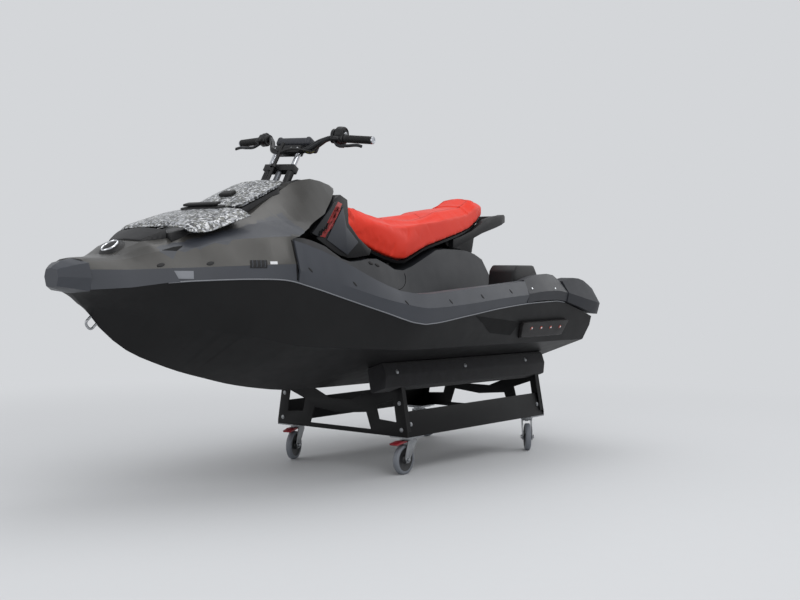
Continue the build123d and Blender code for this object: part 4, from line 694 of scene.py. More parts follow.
@dataclass
class Studio:
    """Pale floor, soft lamps and the photo's camera.

    Attributes:
        eye: Where the photo was taken from.
        heading: Level direction of the camera.
        down_deg: How far the camera looks down.
        lens_mm: Focal length.
        sensor_mm: Width of the picture on the sensor.
        reach_m: How far the camera sees.
        floor_m: Side of the floor.
        floor_colour: The floor's tone.
        sky_colour: The background's tone.
        sky_light: Strength of the sky's light.
        fade_m: Where the floor starts to fade into the sky, and where it has faded.
        lamps: Name, place, size of the face and power in watts of each lamp.
        aim: The point that the lamps look at.
    """

    eye: Triple = (3.9467, 3.6527, 0.900)
    heading: Pair = (-0.7705, -0.6374)
    down_deg: float = 1.887
    lens_mm: float = 56.74
    sensor_mm: float = 36.0
    reach_m: float = 100.0
    floor_m: float = 60.0
    floor_colour: str = "#c0c2c5"
    sky_colour: str = "#d4d6d9"
    sky_light: float = 0.86
    fade_m: Pair = (1.5, 4.4)
    lamps: tuple[tuple[str, Triple, Pair, float], ...] = (
        ("key", (2.2, 3.4, 3.6), (3.2, 2.2), 66),
        ("overhead", (-0.3, 0.2, 4.2), (4.2, 2.0), 44),
        ("fill", (4.6, -1.8, 2.2), (2.6, 2.0), 26),
        ("rim", (-3.6, 1.6, 2.6), (2.6, 1.8), 26),
    )
    aim: Triple = (0, 0, 0.7)

    def build(self) -> None:
        """Sets the whole stage."""
        self.floor()
        self.sky()
        for row in self.lamps:
            self.lamp(*row)
        self.camera()

    def floor(self) -> None:
        """A broad sheet of pale sealed concrete."""
        bm = bmesh.new()
        bmesh.ops.create_grid(bm, x_segments=2, y_segments=2, size=self.floor_m / 2)
        mesh = bpy.data.meshes.new("floor")
        bm.to_mesh(mesh)
        bm.free()
        # Sealed concrete: pale, almost matt, so that it shows a soft contact shadow
        tone = self.floor_colour
        coat = Finish("concrete_sealed", tone, tone, 0.7, grain_mm=8, depth_mm=0.05, specular=0.2)
        mesh.materials.append(coat.material())
        self.fade(mesh.materials[0])
        floor = bpy.data.objects.new("floor", mesh)
        bpy.context.scene.collection.objects.link(floor)

    def fade(self, material: Material) -> None:
        """Lets the far floor pass into the sky's colour, so that no horizon shows."""
        tree = material.node_tree
        shader = tree.nodes["Principled BSDF"]
        place = add_node(tree, "ShaderNodeTexCoord").outputs["Object"]
        far = add_node(tree, "ShaderNodeVectorMath", {0: place}, operation="LENGTH")
        span = {"Value": far.outputs["Value"], "From Min": self.fade_m[0], "From Max": self.fade_m[1]}
        share = add_node(tree, "ShaderNodeMapRange", span, interpolation_type="SMOOTHSTEP")
        amount = maths(tree, "MULTIPLY", share.outputs["Result"], seen_directly(tree))
        sky = add_node(tree, "ShaderNodeEmission", {"Color": linear(self.sky_colour), "Strength": 1.0})
        mixed = add_node(tree, "ShaderNodeMixShader", {0: amount, 1: shader.outputs[0], 2: sky.outputs[0]})
        tree.links.new(mixed.outputs[0], tree.nodes["Material Output"].inputs["Surface"])

    def sky(self) -> None:
        """An even grey sky, shown pale to the camera and to mirrors."""
        world = bpy.data.worlds.new("studio")
        bpy.context.scene.world = world
        world.use_nodes = True
        tree = world.node_tree
        tree.nodes.clear()
        light = add_node(tree, "ShaderNodeBackground", {"Color": (1, 1, 1, 1), "Strength": self.sky_light})
        shown = add_node(tree, "ShaderNodeBackground", {"Color": linear(self.sky_colour), "Strength": 1.0})
        inputs = {0: seen_directly(tree), 1: light.outputs[0], 2: shown.outputs[0]}
        mixed = add_node(tree, "ShaderNodeMixShader", inputs)
        add_node(tree, "ShaderNodeOutputWorld", {"Surface": mixed.outputs[0]})

    def lamp(self, name: str, place: Sequence[float], size: Pair, watts: float) -> None:
        """Hangs one soft box that looks at the craft.

        Args:
            name: The lamp's name.
            place: Where it hangs.
            size: Width and height of its face.
            watts: Its power.
        """
        data = bpy.data.lights.new(name, "AREA")
        data.shape = "RECTANGLE"
        data.size, data.size_y = size
        data.energy = watts
        lamp = bpy.data.objects.new(name, data)
        lamp.location = place
        lamp.rotation_euler = (Vector(self.aim) - Vector(place)).to_track_quat("-Z", "Y").to_euler()
        bpy.context.scene.collection.objects.link(lamp)

    def camera(self) -> None:
        """Stands the camera where the photo was taken from."""
        data = bpy.data.cameras.new("camera")
        data.lens = self.lens_mm
        data.sensor_width = self.sensor_mm
        data.clip_end = self.reach_m
        camera = bpy.data.objects.new("camera", data)
        down = math.radians(self.down_deg)
        level = math.cos(down)
        look = Vector((self.heading[0] * level, self.heading[1] * level, -math.sin(down)))
        camera.location = self.eye
        camera.rotation_euler = look.to_track_quat("-Z", "Y").to_euler()
        bpy.context.scene.collection.objects.link(camera)
        bpy.context.scene.camera = camera
        bpy.context.scene.view_settings.view_transform = "Standard"


PLAIN_DRESS: tuple[tuple[str, Coat, float], ...] = (
    ("hull", Coat.HULL, 24.0),
    ("deck", Coat.DECK, 28.0),
    ("side_rails", Coat.RAIL, 24.0),
    ("rear_side_caps", Coat.CAP, 24.0),
    ("rear_corner_bumpers", Coat.BUMPER, 24.0),
    ("seat_pan", Coat.TRIM, 30.0),
    ("footwell_mats", Coat.MAT, 30.0),
    ("boarding_pad", Coat.MAT, 30.0),
    ("glovebox_lid", Coat.LID, 40.0),
    ("tow_eyes", Coat.STEEL, 30.0),
    ("jet_pump", Coat.CAST, 30.0),
    ("impeller", Coat.STEEL, 30.0),
    ("drive_shaft", Coat.STEEL, 30.0),
    ("steering_nozzle", Coat.CAST, 30.0),
    ("reverse_gate", Coat.TRIM, 30.0),
    ("steering_head", Coat.CAST, 30.0),
    ("console_cover", Coat.TRIM, 30.0),
    ("riser_tubes", Coat.BRIGHT, 30.0),
    ("handlebar", Coat.BAR, 30.0),
    ("cable_bundle", Coat.RUBBER, 30.0),
    ("caster_mounts", Coat.ZINC, 30.0),
)

PLAIN_BEVEL: tuple[tuple[str, Coat, float], ...] = (
    ("foot_wedges", Coat.TRIM, 8.0),
    # Lid frames: black trim, partly painted shade filling the channels beside the lids
    ("lid_frames", Coat.TRIM, 2.0),
    ("shroud", Coat.TRIM, 3.0),
    ("knee_panels", Coat.RAIL, 1.5),
    ("accent_strips", Coat.ACCENT, 1.5),
    ("hood_trims", Coat.DECK, 3.0),
    ("seat_support", Coat.TRIM, 3.0),
    ("grab_handle", Coat.TRIM, 6.0),
    ("front_bin", Coat.TRIM, 1.0),
    ("glovebox_tub", Coat.TRIM, 1.0),
    ("sponsons", Coat.SPONSON, 3.0),
    ("engine_block", Coat.CAST, 5.0),
    ("ride_plate", Coat.CAST, 1.0),
    ("intake_grate", Coat.CAST, 1.0),
    ("steering_base", Coat.TRIM, 1.5),
    ("bar_clamp", Coat.TRIM, 3.0),
    ("dolly_sides", Coat.DOLLY, 1.0),
    ("dolly_end_plates", Coat.DOLLY, 1.0),
)


def dress_plain() -> None:
    """Smooths and finishes every piece that needs no more shape."""
    for node, coat, sharp in PLAIN_DRESS:
        dress(node, coat, sharp)
    for node, coat, width in PLAIN_BEVEL:
        dress(node, coat, bevel_mm=width)


@dataclass
class Hood:
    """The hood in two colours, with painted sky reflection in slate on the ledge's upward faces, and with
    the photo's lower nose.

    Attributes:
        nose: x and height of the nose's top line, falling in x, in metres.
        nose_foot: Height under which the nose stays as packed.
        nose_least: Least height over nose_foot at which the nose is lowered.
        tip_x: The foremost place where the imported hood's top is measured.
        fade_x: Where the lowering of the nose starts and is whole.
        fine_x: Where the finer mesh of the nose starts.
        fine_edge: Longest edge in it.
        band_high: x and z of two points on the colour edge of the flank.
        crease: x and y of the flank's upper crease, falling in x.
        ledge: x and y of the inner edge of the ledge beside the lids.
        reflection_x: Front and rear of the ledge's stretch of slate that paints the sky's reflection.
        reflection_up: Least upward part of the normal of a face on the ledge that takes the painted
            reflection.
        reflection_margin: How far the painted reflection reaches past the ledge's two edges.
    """

    nose: tuple[Pair, ...] = (
        (1.425, 0.858), (1.350, 0.895), (1.301, 0.905), (1.219, 0.908), (1.160, 0.920),
        (1.110, 0.938),
    )
    nose_foot: float = 0.845
    nose_least: float = 0.01
    tip_x: float = 1.385
    fade_x: Pair = (1.095, 1.170)
    fine_x: float = 1.05
    fine_edge: float = 0.025
    band_high: tuple[Pair, ...] = ((1.200, 0.862), (0.640, 0.880))
    crease: tuple[Pair, ...] = ((1.10, 0.190), (1.0, 0.222), (0.85, 0.298), (0.70, 0.366), (0.4, 0.40))
    ledge: tuple[Pair, ...] = ((1.10, 0.160), (1.0, 0.172), (0.85, 0.202), (0.70, 0.214), (0.4, 0.22))
    reflection_x: Pair = (1.075, 0.50)
    reflection_up: float = 0.25
    reflection_margin: float = 0.004

    def build(self) -> None:
        """Makes the bow cap and both colours of the hood; the slate piece holds the lower band and the
        painted sky reflection on the ledge.
        """
        self.skin = Skin("hood", "bow_cap")
        cap = self.finer("bow_cap")
        self.lower_nose(cap)
        stand_in("bow_cap_skin", cap, Coat.RAIL, "bow_cap", 14)
        bm = self.finer("hood")
        self.lower_nose(bm)
        (x0, z0), (x1, z1) = self.band_high
        normal = Vector((z1 - z0, 0, x0 - x1)).normalized()
        whole = bm.verts[:] + bm.edges[:] + bm.faces[:]
        bmesh.ops.bisect_plane(bm, geom=whole, plane_co=(x0, 0, z0), plane_no=normal, dist=0.2 * MM)
        band = bm.copy()
        for mesh, keep in ((bm, False), (band, True)):
            gone = [f for f in mesh.faces if self.slate(f, normal) is not keep]
            bmesh.ops.delete(mesh, geom=gone, context="FACES")
        stand_in("hood_skin", bm, Coat.HOOD, "hood", 14)
        # The slate piece holds the lower band and the painted sky reflection on the ledge
        add("hood_band_and_sky_reflection_skin", band, Coat.RAIL, sharp_deg=14)

    def finer(self, node: str) -> BMesh:
        """A merged copy of a node with more points on its nose."""
        bm = merged_copy(node)
        for _ in range(2):
            nose = [e for e in bm.edges if min(v.co.x for v in e.verts) > self.fine_x]
            long = [e for e in nose if e.calc_length() > self.fine_edge]
            bmesh.ops.subdivide_edges(bm, edges=long, cuts=1, use_grid_fill=True)
        bmesh.ops.triangulate(bm, faces=[f for f in bm.faces if len(f.verts) > 3])
        return bm

    def lower_nose(self, bm: BMesh) -> None:
        """Draws the nose down to the photo's top line."""
        foot = self.nose_foot
        for vertex in bm.verts:
            x = vertex.co.x
            share = share_of(x, *self.fade_x)
            found = self.skin.tree.ray_cast(Vector((min(x, self.tip_x), 0.0, 3.0)), Vector((0, 0, -1)))[0]
            if share == 0.0 or found is None or vertex.co.z <= foot or found.z <= foot + self.nose_least:
                continue
            drop = max(found.z - between(self.nose, x), 0.0)
            high = min((vertex.co.z - foot) / (found.z - foot), 1.0)
            vertex.co.z -= drop * high * high * share

    def slate(self, face: bmesh.types.BMFace, normal: Vector) -> bool:
        """Tells whether a face of the hood has the rails' colour: the lower band, and upward faces on the
        ledge, where the slate is painted reflection of the sky.
        """
        middle = face.calc_center_median()
        (x0, z0), _ = self.band_high
        if (middle - Vector((x0, middle.y, z0))).dot(normal) < 0:
            return True
        # Painted reflection: the ledge's upward faces take slate, as the sky would reflect in the metallic
        # paint
        if not self.reflection_x[1] < middle.x < self.reflection_x[0] or face.normal.z < self.reflection_up:
            return False
        inner = between(self.ledge, middle.x) - self.reflection_margin
        outer = between(self.crease, middle.x) + self.reflection_margin
        return inner < abs(middle.y) < outer


@dataclass
class FrontLid:
    """The front lid, as wide as in the photo, crowned and with turned-down rims.

    Attributes:
        rows: x, half width, height of the crown and of the edge, in metres, from front to rear.
        wall_mm: Thickness of the moulding.
        across: Number of faces across.
        crowding: Power that crowds the faces towards the rims.
        rim: Share of the fall from crown to edge that the turned-down rim takes.
        rim_start: Share of the half width where the rim starts.
        rim_power: How suddenly the rim turns down.
        crown_power: How late the crown falls.
    """

    rows: tuple[tuple[float, float, float, float], ...] = (
        (0.957, 0.204, 1.018, 0.996),
        (0.947, 0.216, 1.031, 0.995),
        (0.920, 0.228, 1.042, 0.994),
        (0.880, 0.236, 1.054, 1.000),
        (0.850, 0.241, 1.062, 1.010),
        (0.780, 0.247, 1.078, 1.034),
        (0.720, 0.250, 1.091, 1.054),
        (0.694, 0.246, 1.095, 1.060),
        (0.686, 0.238, 1.090, 1.056),
    )
    wall_mm: float = 3.5
    across: int = 20
    crowding: float = 1.35
    rim: float = 0.55
    rim_start: float = 0.8
    rim_power: float = 1.6
    crown_power: float = 2.5

    def build(self) -> None:
        """Makes the lid in place of its node."""
        bm = bmesh.new()
        bmesh.ops.create_grid(bm, x_segments=len(self.rows) * 2 - 2, y_segments=self.across, size=0.5)
        widths, tops, edges = ([(row[0], row[k]) for row in self.rows] for k in (1, 2, 3))
        front, rear = self.rows[0][0], self.rows[-1][0]
        for vertex in bm.verts:
            x = front + (rear - front) * (0.5 + vertex.co.x)
            share = vertex.co.y * 2
            bend = 1 - (1 - abs(share)) ** self.crowding
            y = math.copysign(bend, share) * between(widths, x)
            turned_down = share_of(bend, self.rim_start, 1.0) ** self.rim_power
            fall = (1 - self.rim) * bend**self.crown_power + self.rim * turned_down
            vertex.co = (x, y, between(tops, x) - (between(tops, x) - between(edges, x)) * fall)
        bmesh.ops.recalc_face_normals(bm, faces=bm.faces)
        if sum(f.normal.z for f in bm.faces) < 0:
            bmesh.ops.reverse_faces(bm, faces=bm.faces)
        bmesh.ops.solidify(bm, geom=bm.faces[:], thickness=self.wall_mm * MM)
        bmesh.ops.recalc_face_normals(bm, faces=bm.faces)
        stand_in("front_lid_skin", bm, Coat.LID, "front_lid")


@dataclass
class Bunks:
    """Carpeted bunks, as deep as in the photo.

    Attributes:
        deeper_mm: How far the undersides are drawn down.
        round_mm: Width of the edges' rounding.
        edge_angle: Least angle of a rounded edge, in radians.
        under_z: Most that a normal on the underside rises.
    """

    deeper_mm: float = 40.0
    round_mm: float = 5.0
    edge_angle: float = 0.6
    under_z: float = -0.7

    def build(self) -> None:
        """Draws the bunks' undersides down."""
        bm = merged_copy("dolly_bunks")
        flattened(bm)
        bmesh.ops.recalc_face_normals(bm, faces=bm.faces)
        under = {v for f in bm.faces if f.normal.z < self.under_z for v in f.verts}
        for vertex in under:
            vertex.co.z -= self.deeper_mm * MM
        bevel(bm, sharp_edges(bm, self.edge_angle), self.round_mm, segments=3, clamp=True)
        stand_in("dolly_bunks_skin", bm, Coat.CARPET, "dolly_bunks", 30)


@dataclass
class Saddle:
    """The saddle's cushion, remeshed, puffed and drawn to the photo's top line, with its piping and
    painted shade along its lower edge.

    Attributes:
        voxel_mm: Pitch of the remesh.
        pressure: Air pressure of the puff.
        frames: Frames that the puff runs for.
        most_mm: Most that any point may move.
        fill: How full the cushion is; not used.
        painted_shade_mm: Height of the painted shade along the lower edge.
        painted_shade_fade_mm: Height over which the painted shade fades out.
        painted_shade_colour: The painted shade's tone.
        shade_edge_x: Pitch at which the lower edge is measured, in metres.
        shade_edge_y: Least distance of the lower edge from the middle.
        seam_mm: Radius of the sewn piping.
        seam_x: Front and rear end of the piping along a shoulder, in metres.
        seam_y: Its distance from the middle.
        seam_taper: x behind which the piping runs inwards, and its slope.
        cross_half: Half the width of a cross seam, in metres.
        cross_bow: How far a cross seam bows backwards in the middle.
        hump_x: Places of the two cross seams either side of the rider's hump, in metres.
        bolster_x: Place of the seam in front of the rear bolster, in metres.
        top: x and height of the top line, falling in x, in metres.
        top_x: Pitch at which the top line is measured, in metres.
        blend: Depths under the top line where its shift starts and is whole, in metres.
        hump: x in metres and height in millimetres of the ridge along the middle.
        hump_half: Half the ridge's width in metres.
    """

    voxel_mm: float = 7.0
    pressure: float = 4.0
    frames: int = 20
    most_mm: float = 6.0
    fill: float = 0.85
    painted_shade_mm: float = 8.0
    painted_shade_fade_mm: float = 9.0
    painted_shade_colour: str = "#b22317"
    shade_edge_x: float = 0.02
    shade_edge_y: float = 0.06
    seam_mm: float = 1.5
    seam_x: Pair = (-0.02, -0.94)
    seam_y: float = 0.082
    seam_taper: Pair = (-0.6, -0.05)
    cross_half: float = 0.08
    cross_bow: float = 0.03
    hump_x: Pair = (-0.262, -0.520)
    bolster_x: float = -0.868
    top: tuple[Pair, ...] = (
        (-0.020, 1.126), (-0.045, 1.122), (-0.130, 1.096), (-0.230, 1.077), (-0.293, 1.078),
        (-0.400, 1.089), (-0.531, 1.103), (-0.621, 1.119), (-0.760, 1.137), (-0.820, 1.144),
    )
    top_x: float = 0.004
    blend: Pair = (0.075, 0.015)
    hump: tuple[Pair, ...] = ((-0.290, 0), (-0.380, 14), (-0.460, 20), (-0.520, 14), (-0.610, 0))
    hump_half: float = 0.060

    def build(self) -> None:
        """Makes and dresses the cushion."""
        made = stand_in("saddle_cushion", merged_copy("seat"), Coat.SADDLE, "seat", 60)
        self.remesh(made)
        self.puff(made)
        self.contour(made)
        self.mark_painted_shade(made)
        self.seams(made)

    def apply(self, made: Object) -> None:
        """Bakes the modifiers into the mesh."""
        graph = bpy.context.evaluated_depsgraph_get()
        mesh = bpy.data.meshes.new_from_object(made.evaluated_get(graph))
        made.modifiers.clear()
        made.data = mesh

    def remesh(self, made: Object) -> None:
        """Gives the cushion an even skin that cloth can move."""
        remesh = made.modifiers.new("remesh", "REMESH")
        remesh.mode = "VOXEL"
        remesh.voxel_size = self.voxel_mm * MM
        remesh.use_smooth_shade = True
        self.apply(made)
        bm = bmesh.new()
        bm.from_mesh(made.data)
        axes = {"use_axis_x": True, "use_axis_y": True, "use_axis_z": True}
        for _ in range(4):
            bmesh.ops.smooth_vert(bm, verts=bm.verts, factor=0.5, **axes)
        bm.to_mesh(made.data)
        bm.free()

    def puff(self, made: Object) -> None:
        """Blows the skin out a little and smooths it."""
        rest = [v.co.copy() for v in made.data.vertices]
        cloth = made.modifiers.new("cloth", "CLOTH")
        cloth.settings.use_pressure = True
        cloth.settings.uniform_pressure_force = self.pressure
        cloth.settings.effector_weights.gravity = 0
        cloth.point_cache.frame_start, cloth.point_cache.frame_end = 1, self.frames
        for number in range(1, self.frames + 1):
            bpy.context.scene.frame_set(number)
        self.apply(made)
        bpy.context.scene.frame_set(1)
        for vertex, start in zip(made.data.vertices, rest, strict=True):
            moved = vertex.co - start
            if moved.length > self.most_mm * MM:
                vertex.co = start + moved.normalized() * self.most_mm * MM
        smooth = made.modifiers.new("smooth", "SUBSURF")
        smooth.levels = smooth.render_levels = 1
        self.apply(made)

    def contour(self, made: Object) -> None:
        """Draws the top to the photo's line: a dip in front, with a hump along its middle."""
        skin = Skin()
        skin.read(made.data)
        lift: dict[int, float] = {}
        for vertex in made.data.vertices:
            x, y, z = vertex.co
            if not self.top[-1][0] < x < self.top[0][0]:
                continue
            key = round(x / self.top_x)
            if key not in lift:
                place = key * self.top_x
                lift[key] = between(self.top, place) - skin.above(place, 0.0)[0].z
            ridge = between(self.hump, x) * MM
            hump = ridge * max(0.0, 1 - (y / self.hump_half) ** 2) ** 2
            side = lift[key] - ridge
            depth = skin.above(x, 0.0)[0].z - z
            share = share_of(depth, *self.blend)
            vertex.co.z = z + (side + hump) * share * share * (3 - 2 * share)

    def mark_painted_shade(self, made: Object) -> None:
        """Writes each point's height over the cushion's lower edge, for the painted shade's colour."""
        lowest: dict[int, float] = {}
        for vertex in made.data.vertices:
            if abs(vertex.co.y) > self.shade_edge_y:
                key = round(vertex.co.x / self.shade_edge_x)
                lowest[key] = min(lowest.get(key, math.inf), vertex.co.z)
        rows = sorted(((key * self.shade_edge_x, low) for key, low in lowest.items()), reverse=True)
        heights = made.data.attributes.new("edge_height", "FLOAT", "POINT")
        for vertex in made.data.vertices:
            heights.data[vertex.index].value = (vertex.co.z - between(rows, vertex.co.x)) / MM
        for polygon in made.data.polygons:
            polygon.use_smooth = True
        made.data.materials.clear()
        made.data.materials.append(self.vinyl())

    def vinyl(self) -> Material:
        """The red vinyl, darkened towards its lower edge by painted shade."""
        material = Coat.SADDLE.value.material()
        tree = material.node_tree
        shader = tree.nodes["Principled BSDF"]
        height = add_node(tree, "ShaderNodeAttribute", attribute_name="edge_height").outputs["Fac"]
        span = {"From Min": self.painted_shade_mm, "From Max": self.painted_shade_mm + self.painted_shade_fade_mm}
        # Painted shade: a darker red mixed in near the cushion's lower edge, where shade falls
        edge = add_node(tree, "ShaderNodeMapRange", {"Value": height, "To Min": 0.6, "To Max": 0.0} | span)
        tone = shader.inputs["Base Color"].links[0].from_socket
        parts = {"Fac": edge.outputs["Result"], "Color1": tone, "Color2": linear(self.painted_shade_colour)}
        mixed = add_node(tree, "ShaderNodeMixRGB", parts)
        tree.links.new(mixed.outputs["Color"], shader.inputs["Base Color"])
        return material

    def seams(self, made: Object) -> None:
        """Sews piping along the shoulders and across the saddle at the hump and the bolster."""
        skin = Skin()
        skin.read(made.data)
        bm = bmesh.new()
        (front, rear), (taper_x, slope), stretches = self.seam_x, self.seam_taper, 32
        for side in (1, -1):
            line = []
            for step in range(stretches + 1):
                x = front + (rear - front) * step / stretches
                y = self.seam_y - min(x - taper_x, 0.0) * slope
                line.append(skin.above(x, side * y)[0])
            join(bm, rod(line, self.seam_mm, 2))
        for x in (*self.hump_x, self.bolster_x):
            line = []
            for share in (-1, -0.625, -0.25, 0.25, 0.625, 1):
                line.append(skin.above(x - self.cross_bow * (1 - share**2), share * self.cross_half)[0])
            join(bm, rod(line, self.seam_mm, 2))
        add("saddle_piping", bm, Coat.PIPING, sharp_deg=60)


@dataclass
class JointStripe:
    """Pale bead in the joint between the hull and the rails, on both sides.

    Attributes:
        radius_mm: The bead's radius.
        front_x: Where it starts, in metres.
        rear_x: Where it ends, in metres.
        proud_mm: How far its middle stands off the hull's rim.
        low_mm: How far its middle lies under the rim.
        steps: Number of stretches from bow to stern.
        scan_z: Heights between which the rim is looked for, in metres.
        halvings: How often that span is halved.
        least_y: Least distance of the rim from the middle.
    """

    radius_mm: float = 2.3
    front_x: float = 1.085
    rear_x: float = -0.965
    proud_mm: float = 1.4
    low_mm: float = 1.2
    steps: int = 60
    scan_z: Pair = (0.5, 0.95)
    halvings: int = 18
    least_y: float = 0.15

    def rim(self, side: int) -> list[Vector]:
        """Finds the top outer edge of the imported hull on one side, with rays from beside it.

        Args:
            side: One for port, minus one for starboard.

        Returns:
            The rim's points from bow to stern.
        """
        hull = Skin("hull").tree
        points = []
        for step in range(self.steps + 1):
            x = self.front_x + (self.rear_x - self.front_x) * step / self.steps
            (low, high), rim = self.scan_z, None
            for _ in range(self.halvings):
                z = (low + high) / 2
                hit = hull.ray_cast(Vector((x, 2.0 * side, z)), Vector((0, -side, 0)))[0]
                if hit is not None and hit.y * side > self.least_y:
                    low, rim = z, hit
                else:
                    high = z
            if rim is not None:
                points.append(rim)
        return points

    def build(self) -> None:
        """Lays both beads."""
        bm = bmesh.new()
        for side in (1, -1):
            off = Vector((0, side * self.proud_mm * MM, -self.low_mm * MM))
            join(bm, rod([point + off for point in self.rim(side)], self.radius_mm, 2))
        add("joint_beads", bm, Coat.BEAD, sharp_deg=60)


def patch(
    skin: Skin, corners: Sequence[Pair], side: int, lift_mm: float, steps: tuple[int, int]
) -> BMesh:
    """A thin panel that follows a craft's side.

    Args:
        skin: The surface that carries it.
        corners: Four places as x and z in metres: lower front, lower rear, upper rear, upper front.
        side: One for port, minus one for starboard.
        lift_mm: How far its face stands off the surface.
        steps: Number of faces along and up.

    Returns:
        The closed panel.
    """
    bm = bmesh.new()
    bmesh.ops.create_grid(bm, x_segments=steps[0], y_segments=steps[1], size=0.5)
    (x0, z0), (x1, z1), (x2, z2), (x3, z3) = corners
    for vertex in bm.verts:
        u, v = vertex.co.x + 0.5, vertex.co.y + 0.5
        x = (1 - v) * ((1 - u) * x0 + u * x1) + v * ((1 - u) * x3 + u * x2)
        z = (1 - v) * ((1 - u) * z0 + u * z1) + v * ((1 - u) * z3 + u * z2)
        point, normal = skin.beside(x, z, side)
        vertex.co = point + normal * lift_mm * MM
    bmesh.ops.solidify(bm, geom=bm.faces[:], thickness=(lift_mm + 0.4) * MM)
    bmesh.ops.recalc_face_normals(bm, faces=bm.faces)
    return bm


# Profile of a small rounded head, a millimetre in radius and height
HEAD: tuple[Pair, ...] = ((0, 1), (0.72, 1), (0.92, 0.8), (1, 0.4), (1, 0), (0, 0))


@dataclass
class SideFittings:
    """Plugs, slots, vents, plates and seam lines on the craft's sides, and painted shade in notches,
    recesses and slits.

    Attributes:
        slots: x and z of the rails' slanted slots, in metres.
        plugs: x and z of the hood's oval plugs.
        rivets: x and z of the rear caps' rivets.
        bolts: x and z of the sponsons' bolts.
        ovals: x and z of the pedestal's oval vents.
        vent: Corners of the hood's side vent.
        tag: Corners of the small tag behind the vent.
        label: Corners of the blank plate.
        scoop: Corners of the painted shade in the notch of the hood's ledge.
        recess: Corners of the painted shade on the hull, in the recess ahead of a sponson.
        accent: Corners of the red strip beside the knee panel.
        seam: x and z up the line across the hood's flank.
        pedestal: x and z along the seam on the pedestal.
        slit: x and z of the first louvre slit's foot.
        slit_step: x and z from one slit to the next.
        slit_run: x and z from a slit's foot to its head.
        slit_mm: Radius of a slit.
        slit_count: Number of slits on a side.
    """

    slots: tuple[Pair, ...] = (
        (0.5948, 0.8578), (0.4094, 0.8042), (0.1667, 0.7290), (-0.0898, 0.7266), (-0.3038, 0.7421),
        (-0.5122, 0.7591),
    )
    plugs: tuple[Pair, ...] = ((1.098, 0.8772), (0.940, 0.8825))
    rivets: tuple[Pair, ...] = ((-0.675, 0.768), (-0.861, 0.765))
    bolts: tuple[Pair, ...] = ((-0.716, 0.592), (-0.795, 0.591), (-0.874, 0.590), (-0.953, 0.589))
    ovals: tuple[Pair, ...] = ((-0.075, 0.880), (-0.115, 0.872))
    vent: tuple[Pair, ...] = ((0.812, 0.868), (0.752, 0.868), (0.746, 0.893), (0.806, 0.893))
    tag: tuple[Pair, ...] = ((0.738, 0.880), (0.713, 0.880), (0.711, 0.889), (0.736, 0.889))
    label: tuple[Pair, ...] = ((1.078, 0.832), (1.004, 0.830), (1.002, 0.856), (1.076, 0.857))
    scoop: tuple[Pair, ...] = ((1.068, 0.9285), (1.022, 0.9275), (0.985, 0.945), (1.020, 0.940))
    recess: tuple[Pair, ...] = ((-0.43, 0.584), (-0.60, 0.566), (-0.624, 0.622), (-0.27, 0.662))
    accent: tuple[Pair, ...] = ((0.216, 1.004), (0.170, 1.016), (0.112, 1.104), (0.138, 1.114))
    seam: tuple[Pair, ...] = (
        (0.643, 0.820), (0.643, 0.850), (0.643, 0.880), (0.643, 0.930), (0.643, 0.968),
    )
    pedestal: tuple[Pair, ...] = (
        (-0.300, 0.848), (-0.304, 0.83), (-0.300, 0.806), (-0.285, 0.786), (-0.255, 0.770),
        (-0.20, 0.763),
    )
    slit: Pair = (0.258, 0.986)
    slit_step: Pair = (-0.014, 0.008)
    slit_run: Pair = (-0.010, 0.024)
    slit_mm: float = 4.2
    slit_count: int = 5

    def build(self) -> None:
        """Makes every fitting on both sides."""
        self.hood = Skin("hood")
        rails, caps, sponsons = Skin("side_rails"), Skin("rear_side_caps"), Skin("sponsons")
        beside_console = Skin("shroud", "knee_panels", "accent_strips", "hood_trims")
        self.dots("rail_slots", rails, self.slots, (25, 7.5, 2.0), -52, Coat.RUBBER)
        self.dots("hood_plugs", self.hood, self.plugs, (30, 15, 3.0), 0, Coat.RUBBER)
        self.dots("cap_rivets", caps, self.rivets, (11, 11, 3.0), 0, Coat.CHROME)
        self.dots("sponson_plugs", sponsons, self.bolts, (17, 15, 3.0), 0, Coat.PLUG)
        self.dots("sponson_bolts", sponsons, self.bolts, (8, 8, 5.2), 0, Coat.CHROME)
        self.panel("hood_vents", self.hood, self.vent, 2.2, Coat.RUBBER)
        self.louvres()
        self.panel("hood_tags", self.hood, self.tag, 1.2, Coat.TAG)
        self.panel("blank_plates", self.hood, self.label, 2.0, Coat.PLATE)
        # Painted shade: a black panel where the hood's notch lies in shadow
        self.panel("hood_notch_shades", self.hood, self.scoop, 0.8, Coat.SHADE_AND_SEAM)
        # Painted shade: a black panel on the hull where the recess ahead of each sponson lies in shadow
        self.panel("sponson_recess_shades", Skin("hull"), self.recess, 0.9, Coat.SHADE_AND_SEAM, (14, 6))
        self.seams()
        self.slits()
        self.panel("accent_covers", beside_console, self.accent, 2.2, Coat.ACCENT, (4, 14))

    def slits(self) -> None:
        """Slanted louvre slits in the shoulder beside the console, drawn as black rods of painted shade.
        """
        bm = bmesh.new()
        covers = ("hood_trims", "side_rails", "shroud", "knee_panels", "accent_strips")
        shoulder = Skin("hood", "deck", *covers)
        for side in (1, -1):
            for number in range(self.slit_count):
                foot = Vector(self.slit) + Vector(self.slit_step) * number
                places = [foot + Vector(self.slit_run) * share for share in (0.0, 0.35, 0.7, 1.0)]
                join(bm, rod([shoulder.beside(x, z, side)[0] for x, z in places], self.slit_mm, 2))
        # Painted shade: black rods that stand for the shade inside the slits
        add("hood_slit_shades", bm, Coat.SHADE_AND_SEAM)

